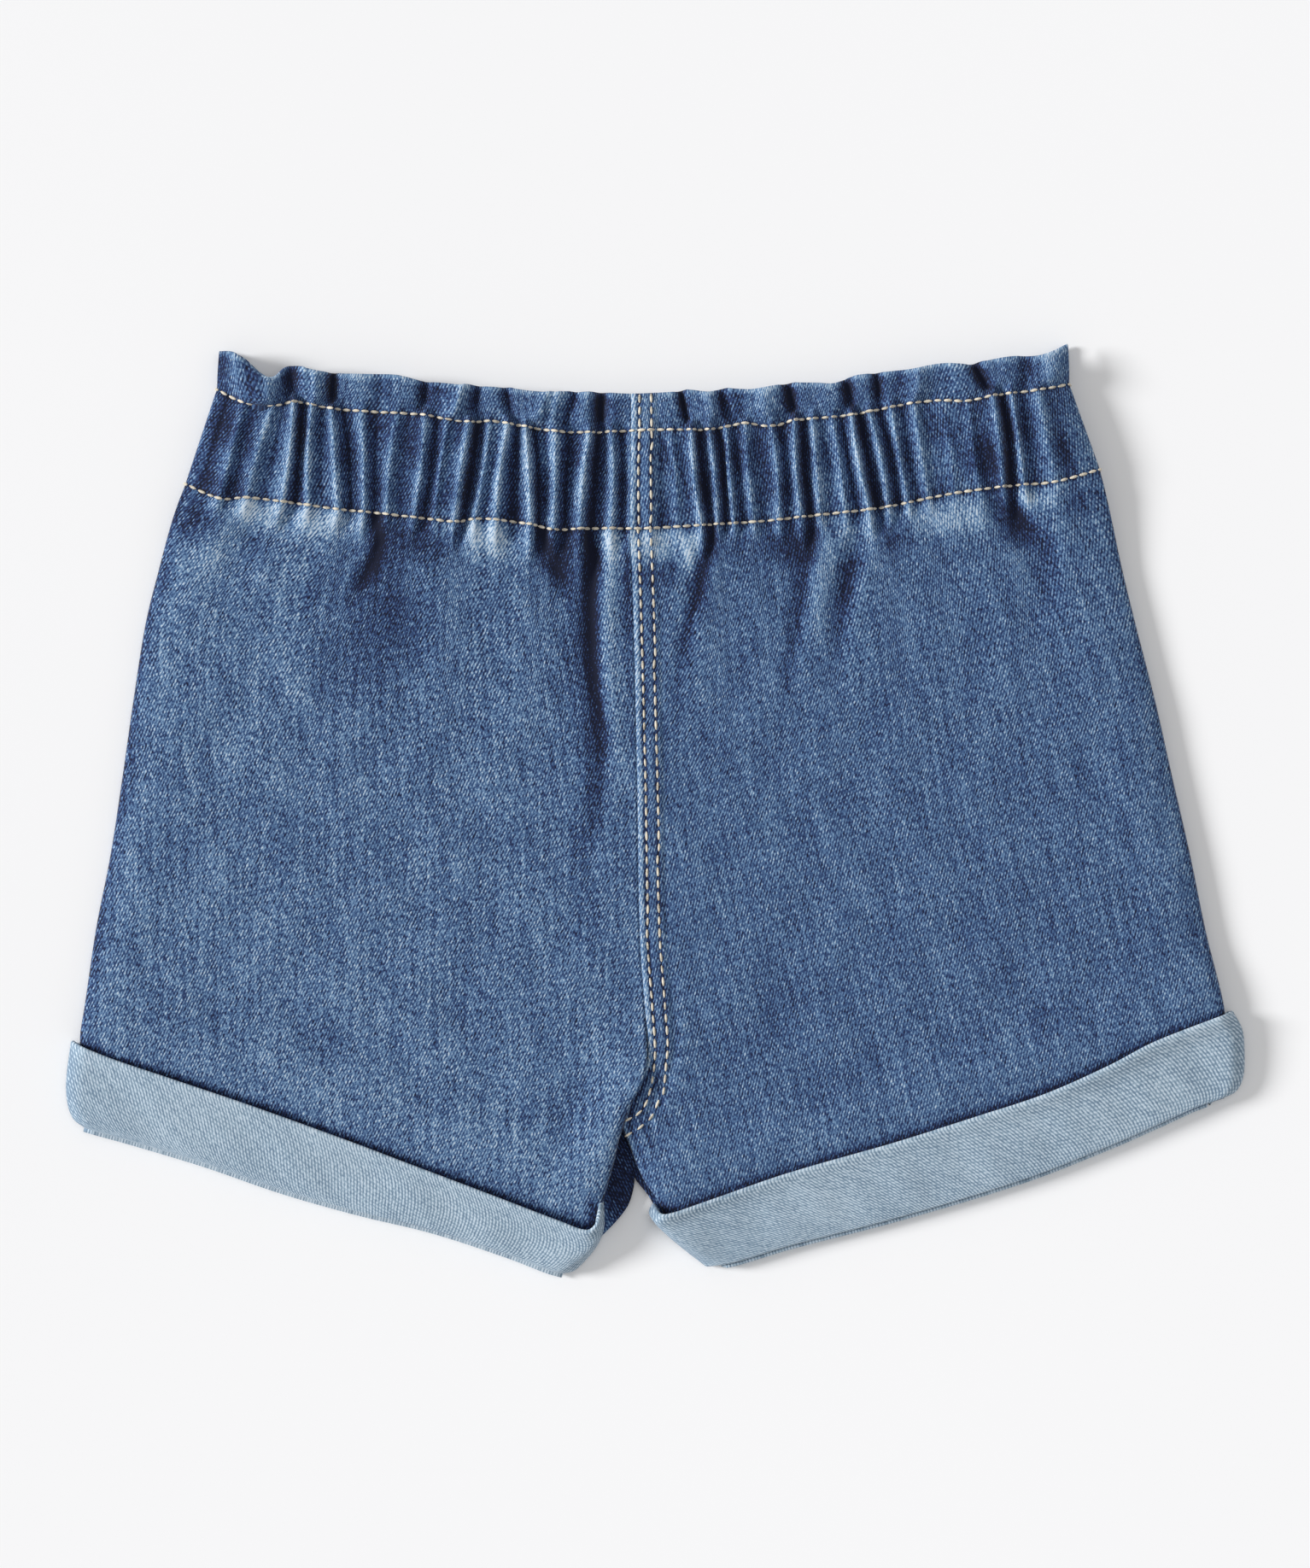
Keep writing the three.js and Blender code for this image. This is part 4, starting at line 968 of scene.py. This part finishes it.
class SHORTS_OT_casings(bpy.types.Operator):
    """Make the gathered elastic casing, back and front"""

    bl_idname = "shorts.casings"
    bl_label = "Casings"

    def execute(self, context):
        sizes, colours = settings()
        face = material_named("casing_denim", lambda: denim("casing_denim", sizes, colours))
        for half in HALVES:
            line = stations(half, 0.42)
            row = np.linspace(0, 1, 44)
            x, y, z, _ = casing_heights(half, line, row, sizes)
            if half.lapped:
                across = np.abs(x - x[:, -1:])
                z = z + lap_relief(across)
            grid = np.stack([x, y, z], axis=-1)
            share = gathered(line)[None] * np.ones_like(z)
            # Gathers' crests paler and valleys darker, partly wear and partly painted light and shade; painted
            # shade in the sharp creases.
            wash = np.clip(2.2 * share - 1.3, -1.2, 0.6) - 1.4 * creased(line)[None]
            wash = wash + 0.3 * np.sin(x * 0.31 + 1) * np.sin(y * 0.4) + wash_and_shading_of(x, y, CASING_PATCHES)
            from_top = row[:, None] * CASING_DEPTH
            from_low = (1 - row[:, None]) * CASING_DEPTH
            # Painted shade along the two rows of stitching.
            wash = wash - 0.5 * (bell(from_top, 0.8) + bell(from_low, 0.8))
            flat_x = waist_cloth(half, line, sizes)[None] * np.ones_like(x)
            flat_y = mix(y[:1].mean(), y[-1:].mean(), row[:, None]) * np.ones_like(x)
            chart = cloth_map(flat_x, flat_y, half.twill)
            if half.lapped:
                wash = np.where(across < LAP_WIDTH, seam_wear_and_shading(across) - 0.15, wash)
            piece = shell(f"gathered_casing_back_{half.name}", grid, 1.3, chart, wash)
            dress(piece, face, [f"casing_back_{half.name}"])

            line = stations(half, 0.8)
            x, y, _, _ = casing_heights(half, line, np.linspace(0, 1, 24), sizes)
            pleat = front_pleat(line)
            grid = np.stack([x, y, 0.2 + pleat * np.ones_like(x)], axis=-1)
            wash = (0.5 - gathered(line, 1.0)[None]) * np.ones_like(x)
            chart = cloth_map(waist_cloth(half, line, sizes)[None] * np.ones_like(x), y, 180 - half.twill)
            piece = shell(f"gathered_casing_front_{half.name}", grid, 1.2, chart, wash, up=-1)
            dress(piece, face, [f"casing_front_{half.name}"])
        return {"FINISHED"}


class SHORTS_OT_frills(bpy.types.Operator):
    """Make the frill above the casing, with its waves and curled lobes"""

    bl_idname = "shorts.frills"
    bl_label = "Frills"

    def execute(self, context):
        sizes, colours = settings()
        face = material_named("frill_denim", lambda: denim("frill_denim", sizes, colours))
        for half in HALVES:
            line = stations(half, 0.42)
            row = np.linspace(0, 1, 26)
            foot_x, foot_y, foot_z, _ = casing_heights(half, line, np.array([0.0, 0.5]), sizes)
            tip = waist(line, "tip")
            r = row[:, None]
            x = mix(foot_x[:1], tip[None, :, 0], r)
            y = mix(foot_y[:1], tip[None, :, 1], r)
            relief, tone = frill_waves(x, r)
            free = frill_height(x, relief, sizes)
            z = mix(foot_z[:1], free, smooth(r / 0.4)) + 0.5 * np.sin(np.pi * r)
            for curl in CURLS:
                near = bell(x - curl.x, curl.wide)
                swing = np.sin(np.pi * np.clip(r * 1.15, 0, 1)) ** 0.8
                y = y - curl.sag * near * swing
                z = z + curl.out * near * np.sin(np.pi * np.clip(r * 0.8 + 0.1, 0, 1))
            if half.lapped:
                across = np.abs(x - x[:, -1:])
                z = z + lap_relief(across)
            grid = np.stack([x, y, z], axis=-1)
            # Painted shade in the valleys between waves and along the stitching at the frill's foot; the free
            # edge paler with wear.
            wash = tone * smooth(0.25 + r) - 0.45 + 0.9 * bell(1 - r, 0.1)
            wash = wash - 0.5 * bell(r * FRILL_DEPTH, 0.8)
            if half.lapped:
                wash = np.where(across < LAP_WIDTH, 0.1 + seam_wear_and_shading(across), wash)
            flat_x = waist_cloth(half, line, sizes)[None] * np.ones_like(x)
            chart = cloth_map(flat_x, foot_y[:1].mean() + 10 * r * np.ones_like(x), half.twill)
            piece = shell(f"wavy_frill_back_{half.name}", grid, 1.3, chart, wash)
            dress(piece, face, [f"frill_back_{half.name}"])

            line = stations(half, 0.8)
            foot_x, foot_y, _, _ = casing_heights(half, line, np.array([0.0, 0.5]), sizes)
            tip = waist(line, "tip")
            r = np.linspace(0, 1, 12)[:, None]
            x, y = mix(foot_x[:1], tip[None, :, 0], r), mix(foot_y[:1], tip[None, :, 1], r)
            pleat = front_pleat(line)
            grid = np.stack([x, y, 0.2 + pleat * mix(1, 0.85, r)], axis=-1)
            wash = (0.5 - gathered(line, 1.0)[None]) * np.ones_like(x)
            chart = cloth_map(waist_cloth(half, line, sizes)[None] * np.ones_like(x), y, 180 - half.twill)
            piece = shell(f"wavy_frill_front_{half.name}", grid, 1.3, chart, wash, up=-1)
            dress(piece, face, [f"frill_front_{half.name}"])
        return {"FINISHED"}


class SHORTS_OT_cuffs(bpy.types.Operator):
    """Make the turned-up cuffs, which show the pale reverse of the denim"""

    bl_idname = "shorts.cuffs"
    bl_label = "Cuffs"

    def execute(self, context):
        sizes, colours = settings()
        face = material_named(
            "reverse_denim", lambda: denim("reverse_denim", sizes, colours, reverse=True, contrast=0.9))
        for half in HALVES:
            length = cuff_length(half)
            turn = np.radians(np.linspace(0, 90, 10))
            side = CUFF_CORNER * (1 - np.cos(turn))
            middle = np.linspace(CUFF_CORNER, length - CUFF_CORNER, 190)[1:-1]
            across = np.concatenate([side, middle, (length - side)[::-1]])
            up = np.concatenate([np.sin(turn), np.ones(188), np.sin(turn)[::-1]])[None]
            bend = np.radians(np.linspace(0, 90, 9))
            straight = CUFF_DEPTH - CUFF_ROUND
            turned = straight + CUFF_ROUND * np.sin(bend[1:])
            depth = np.concatenate([np.linspace(0, straight, 26), turned, [CUFF_DEPTH, CUFF_DEPTH]])
            drop = np.concatenate([np.zeros(26), CUFF_ROUND * (1 - np.cos(bend[1:])), [1.7, 2.7]])[:, None]
            v = depth / CUFF_DEPTH
            place = cuff_points(half, across / length, v)
            corner = smooth(1 - (length - across) / 18) - 1.3 * smooth(1 - across / 28)
            x, y = place[..., 0], place[..., 1]
            loose = 0.7 + 0.5 * np.sin(across / 23 + 1)
            stand = (1 - v[:, None]) ** 2 * corner[None] + loose[None] * bell(depth[:, None], 2.5)
            soft = 0.35 * ripple(x * 0.8, y * 0.8) * np.sin(np.pi * np.clip(v[:, None], 0, 1))
            crest = 7.0 - 3.0 * v[:, None] + stand + soft - drop
            z = mix(0.9, np.maximum(crest, 1.0), up)
            grid = np.stack([x, y, z], axis=-1)
            # Paler along the top edge; a painted highlight along the bottom fold, which turns away from the
            # light.
            wash = 0.25 * ripple(x * 0.5, y * 0.5) + 0.35 * bell(depth[:, None], 0.9)
            wash = wash + 0.5 * bell(CUFF_DEPTH - depth[:, None], 0.8)
            # Painted shade on the cuff's end that faces the key light.
            lit_end = across if half is LEFT else length - across
            wash = wash - 1.1 * bell(lit_end, 2.4)[None]
            hem = np.stack(np.broadcast_arrays(across[None], -depth[:, None]), axis=-1)
            if half is RIGHT:
                hem = hem * np.array([-1, 1])
            chart = cloth_map(hem[..., 0], hem[..., 1], half.hem_twill)
            piece = shell(f"turned_cuff_back_{half.name}", grid, 1.1, chart, wash)
            dress(piece, face, [f"cuff_back_{half.name}"])

            lift = np.concatenate([np.zeros(26), 1.1 * (1 - np.cos(bend[1:])), [1.6, 2.2]])[:, None]
            place = cuff_points(half, (0.8 + across * (1 - 1.6 / length)) / length, 0.97 * v)
            grid = np.dstack([place, 0.1 + lift * (up == 1)])
            piece = shell(f"turned_cuff_front_{half.name}", grid, 1.0, chart, wash, up=-1)
            dress(piece, face, [f"cuff_front_{half.name}"])
        return {"FINISHED"}


def stitch_tree():
    """Geometry nodes that lay one thread stitch after another along a curve."""
    tree = bpy.data.node_groups.new("stitch_row", "GeometryNodeTree")
    face = tree.interface
    face.new_socket("Geometry", in_out="INPUT", socket_type="NodeSocketGeometry")
    for name, default in (("Pitch", 0.0035), ("Length", 0.003), ("Thread", 0.0006)):
        face.new_socket(name, in_out="INPUT", socket_type="NodeSocketFloat").default_value = default
    face.new_socket("Material", in_out="INPUT", socket_type="NodeSocketMaterial")
    face.new_socket("Geometry", in_out="OUTPUT", socket_type="NodeSocketGeometry")

    def node(kind, **settings_of):
        made = tree.nodes.new(kind)
        for key, value in settings_of.items():
            setattr(made, key, value)
        return made

    link = tree.links.new
    given = node("NodeGroupInput")
    points = node("GeometryNodeCurveToPoints", mode="LENGTH")
    link(given.outputs["Geometry"], points.inputs["Curve"])
    link(given.outputs["Pitch"], points.inputs["Length"])
    ball = node("GeometryNodeMeshUVSphere")
    ball.inputs["Segments"].default_value = 8
    ball.inputs["Rings"].default_value = 6
    ball.inputs["Radius"].default_value = 0.5
    shape = node("ShaderNodeCombineXYZ")
    link(given.outputs["Thread"], shape.inputs["X"])
    link(given.outputs["Thread"], shape.inputs["Y"])
    link(given.outputs["Length"], shape.inputs["Z"])
    size = node("GeometryNodeTransform")
    link(ball.outputs["Mesh"], size.inputs["Geometry"])
    link(shape.outputs[0], size.inputs["Scale"])
    vary = node("FunctionNodeRandomValue", data_type="FLOAT_VECTOR")
    vary.inputs[0].default_value = (-0.06, -0.06, -0.3)
    vary.inputs[1].default_value = (0.06, 0.06, 0.3)
    vary.inputs["Seed"].default_value = 7
    turned = node("FunctionNodeRotateRotation", rotation_space="LOCAL")
    link(points.outputs["Rotation"], turned.inputs[0])
    link(vary.outputs[0], turned.inputs[1])
    grow = node("FunctionNodeRandomValue", data_type="FLOAT")
    grow.inputs[2].default_value = 0.9
    grow.inputs[3].default_value = 1.08
    grow.inputs["Seed"].default_value = 11
    place = node("GeometryNodeInstanceOnPoints")
    link(points.outputs["Points"], place.inputs["Points"])
    link(size.outputs["Geometry"], place.inputs["Instance"])
    link(turned.outputs[0], place.inputs["Rotation"])
    link(grow.outputs[1], place.inputs["Scale"])
    whole = node("GeometryNodeRealizeInstances")
    link(place.outputs["Instances"], whole.inputs["Geometry"])
    shade = node("GeometryNodeSetShadeSmooth")
    link(whole.outputs["Geometry"], shade.inputs["Geometry"])
    coat = node("GeometryNodeSetMaterial")
    link(shade.outputs["Geometry"], coat.inputs["Geometry"])
    link(given.outputs["Material"], coat.inputs["Material"])
    out = node("NodeGroupOutput")
    link(coat.outputs["Geometry"], out.inputs["Geometry"])
    return tree


def surface_height(grid, x, y):
    """Height of a grid's point nearest to x, y in plan."""
    gap = np.hypot(grid[..., 0] - x, grid[..., 1] - y)
    return grid[..., 2].ravel()[np.argmin(gap)]


def flattened(path):
    """The part of a row above the crotch, moved to the underside."""
    path = path[path[:, 1] > -70]
    return np.column_stack([path[:, 0], path[:, 1], np.full(len(path), UNDER_ROW)])


def stitch_rows(name, rows, material, sizes, changes):
    """Bakes rows of stitches, each a list of points in mm, into one mesh."""
    curve = bpy.data.curves.new(name + "_path", "CURVE")
    curve.dimensions = "3D"
    for row in rows:
        spline = curve.splines.new("POLY")
        spline.points.add(len(row) - 1)
        flat = np.column_stack([np.array(row) * MM, np.ones(len(row))])
        spline.points.foreach_set("co", flat.ravel())
    path = bpy.data.objects.new(name + "_path", curve)
    bpy.context.scene.collection.objects.link(path)
    tree = bpy.data.node_groups.get("stitch_row") or stitch_tree()
    modifier = path.modifiers.new("stitches", "NODES")
    modifier.node_group = tree
    values = {
        "Pitch": sizes.stitch_pitch, "Length": sizes.stitch_length, "Thread": sizes.thread,
        "Material": material, **changes,
    }
    for item in tree.interface.items_tree:
        if item.in_out == "INPUT" and item.name in values:
            modifier[item.identifier] = values[item.name]
    bpy.context.view_layer.update()
    evaluated = path.evaluated_get(bpy.context.evaluated_depsgraph_get())
    mesh = bpy.data.meshes.new_from_object(evaluated)
    mesh.name = name
    path.modifiers.remove(modifier)
    bpy.data.objects.remove(path)
    bpy.data.curves.remove(curve)
    if not len(mesh.polygons):
        raise RuntimeError(f"{name}: no stitches were made")
    piece = bpy.data.objects.new(name, mesh)
    bpy.context.scene.collection.objects.link(piece)
    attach(piece, "root")
    return piece


def thread_material(colours):
    g = Graph("topstitching_thread")
    place = g.node("ShaderNodeTexCoord").outputs["Object"]
    twist = g.noise(place, (0.0004, 0.0004, 0.0004), 2.0)
    worn = g.noise(place, (0.0017, 0.0017, 0.0017), 2.0)
    shade = g.math("MULTIPLY_ADD", worn, 0.7, g.math("MULTIPLY", twist, 0.4))
    pale = tuple(min(1, c * 1.3) for c in colours.thread)
    dark = tuple(c * 0.45 for c in colours.thread)
    colour = g.ramp(shade, [(0.36, dark), (0.54, tuple(colours.thread)), (0.72, pale)])
    bump = g.node("ShaderNodeBump", {"Height": twist, "Strength": 0.6, "Distance": 0.0002}).outputs[0]
    inputs = {
        "Base Color": colour, "Roughness": 0.6, "Specular IOR Level": 0.35, "Sheen Weight": 0.1,
        "Normal": bump,
    }
    shader = g.node("ShaderNodeBsdfPrincipled", inputs)
    g.node("ShaderNodeOutputMaterial", {"Surface": shader.outputs[0]})
    return g.material


class SHORTS_OT_stitching(bpy.types.Operator):
    """Sew the rows of topstitching along the casing and the seat seam, back and front"""

    bl_idname = "shorts.stitching"
    bl_label = "Topstitching"

    def execute(self, context):
        sizes, colours = settings()
        thread = material_named("topstitching_thread", lambda: thread_material(colours))
        rows = []
        under = []
        for level, row in (("top", 0.0), ("low", 1.0)):
            parts = []
            for half in HALVES:
                line = stations(half, 0.5)
                x, y, z, _ = casing_heights(half, line, np.array([row, 0.5]), sizes)
                lap = lap_relief(np.abs(x[0] - x[0, -1])) if half.lapped else 0
                part = np.column_stack([x[0], y[0], z[0] + lap + 0.18])
                parts.append(part if half is LEFT else part[::-1])
            back = np.concatenate(parts)
            rows.append(back)
            flat = back.copy()
            flat[:, 2] = UNDER_ROW
            under.append(flat)
        half = RIGHT
        seat = []
        u, v, grid, _, _ = panel_heights(half, sizes, 0.7)
        width = np.linalg.norm(grid[:, 0, :2] - grid[:, -1, :2], axis=-1)
        line = stations(half, 0.42)
        x, y, z, _ = casing_heights(half, line, np.linspace(0, 1, 30), sizes)
        tip = waist(line, "tip")
        for offset, tail in zip(SEAT_ROWS, SEAM_TAILS):
            path = []
            for r in np.linspace(0.9, 0.1, 8):
                fx, fy = mix(x[0], tip[:, 0], r), mix(y[0], tip[:, 1], r)
                k = np.argmin(np.abs(np.abs(fx - fx[-1]) - offset))
                here = np.array([fx[k]])
                free = frill_height(here, frill_waves(here, r)[0], sizes)[0]
                height = mix(z[0, k], free, smooth(r / 0.4)) + 0.5 * math.sin(math.pi * r) + 0.5
                path.append((fx[k], fy[k], height))
            for r in range(30):
                k = np.argmin(np.abs(np.abs(x[r] - x[r, -1]) - offset))
                path.append((x[r, k], y[r, k], z[r, k] + 0.35))
            for r in range(0, len(v), 2):
                k = np.argmin(np.abs((1 - u) * width[r] - offset))
                if grid[r, k, 1] < tail[0][1]:
                    break
                path.append((grid[r, k, 0], grid[r, k, 1], grid[r, k, 2] + 0.1))
            path += [(tx, ty, surface_height(grid, tx, ty) + 0.15) for tx, ty in tail]
            seat.append(np.array(path))
        seat.append(np.array([(tx, ty, surface_height(grid, tx, ty) + 0.15) for tx, ty in SEAM_TAILS[2]]))
        fine = dict(Pitch=3.1 * MM, Length=2.3 * MM, Thread=0.66 * MM)
        for name, paths, changes in (
            ("topstitching_back", rows, {}), ("seat_stitching_back", seat, fine),
            ("topstitching_front", under, {}), ("rise_stitching_front", [flattened(p) for p in seat[:2]], fine),
        ):
            piece = stitch_rows(name, paths, thread, sizes, changes)
        return {"FINISHED"}


class SHORTS_OT_stage(bpy.types.Operator):
    """Set the pale surface, the soft light and the camera straight above"""

    bl_idname = "shorts.stage"
    bl_label = "Stage"

    def execute(self, context):
        _, colours = settings()
        scene = context.scene
        scene.view_settings.view_transform = "Standard"
        mesh = bpy.data.meshes.new("surface")
        far = 3.0
        level = -0.0003
        corners = [(-far, -far, level), (far, -far, level), (far, far, level), (-far, far, level)]
        mesh.from_pydata(corners, [], [(0, 1, 2, 3)])
        floor = bpy.data.objects.new("surface", mesh)
        scene.collection.objects.link(floor)
        g = Graph("pale_surface")
        place = g.node("ShaderNodeTexCoord").outputs["Object"]
        shade = g.noise(place, (0.4, 0.4, 0.4), 1.0)
        colour = g.ramp(shade, [(0.3, tuple(c * 0.985 for c in colours.floor)), (0.7, tuple(colours.floor))])
        shader = g.node("ShaderNodeBsdfPrincipled", {"Base Color": colour, "Roughness": 0.95,
                                                     "Specular IOR Level": 0.1})
        g.node("ShaderNodeOutputMaterial", {"Surface": shader.outputs[0]})
        mesh.materials.append(g.material)

        def sun(name, toward, angle, power):
            light = bpy.data.lights.new(name, "SUN")
            light.angle = angle
            light.energy = power
            holder = bpy.data.objects.new(name, light)
            x, y, z = toward
            holder.location = toward
            holder.rotation_euler = (math.atan2(math.hypot(x, y), z), 0, math.atan2(x, -y))
            scene.collection.objects.link(holder)

        sun("key_light", (-1.0, 0.12, 0.46), 0.3, 3.44)
        sun("top_light", (0.1, 0.1, 1.0), 0.7, 0.5)
        world = bpy.data.worlds.new("studio")
        world.use_nodes = True
        world.node_tree.nodes["Background"].inputs["Color"].default_value = (1, 1, 1, 1)
        world.node_tree.nodes["Background"].inputs["Strength"].default_value = 0.4
        scene.world = world

        view = bpy.data.cameras.new("camera")
        view.lens = 100
        view.sensor_width = 36
        view.clip_end = 20
        holder = bpy.data.objects.new("camera", view)
        picture_height = PICTURE_ROWS / PICTURE_SCALE * MM
        cloth_level = 0.007
        holder.location = (-0.0001, 0.00707, cloth_level + picture_height * view.lens / view.sensor_width)
        scene.collection.objects.link(holder)
        scene.camera = holder
        return {"FINISHED"}


class SHORTS_PT_panel(bpy.types.Panel):
    """Sizes, colours and steps of the shorts"""

    bl_idname = "SHORTS_PT_panel"
    bl_label = "Denim shorts"
    bl_space_type = "VIEW_3D"
    bl_region_type = "UI"
    bl_category = "Shorts"

    def draw(self, context):
        for group in (context.scene.shorts_sizes, context.scene.shorts_colours):
            column = self.layout.column(align=True)
            for name in group.__annotations__:
                column.prop(group, name)
        for step in STEPS:
            self.layout.operator(step.bl_idname)


STEPS = (
    SHORTS_OT_leg_backs, SHORTS_OT_leg_fronts, SHORTS_OT_casings, SHORTS_OT_frills, SHORTS_OT_cuffs,
    SHORTS_OT_stitching, SHORTS_OT_stage,
)
CLASSES = (ShortsSizes, ShortsColours, *STEPS, SHORTS_PT_panel)


def register():
    for each in CLASSES:
        bpy.utils.register_class(each)
    bpy.types.Scene.shorts_sizes = bpy.props.PointerProperty(type=ShortsSizes)
    bpy.types.Scene.shorts_colours = bpy.props.PointerProperty(type=ShortsColours)


def unregister():
    del bpy.types.Scene.shorts_colours
    del bpy.types.Scene.shorts_sizes
    for each in reversed(CLASSES):
        bpy.utils.unregister_class(each)


def main():
    register()
    bpy.ops.shorts.leg_backs()
    bpy.ops.shorts.leg_fronts()
    bpy.ops.shorts.casings()
    bpy.ops.shorts.frills()
    bpy.ops.shorts.cuffs()
    bpy.ops.shorts.stitching()
    bpy.ops.shorts.stage()


if __name__ == "__main__":
    main()
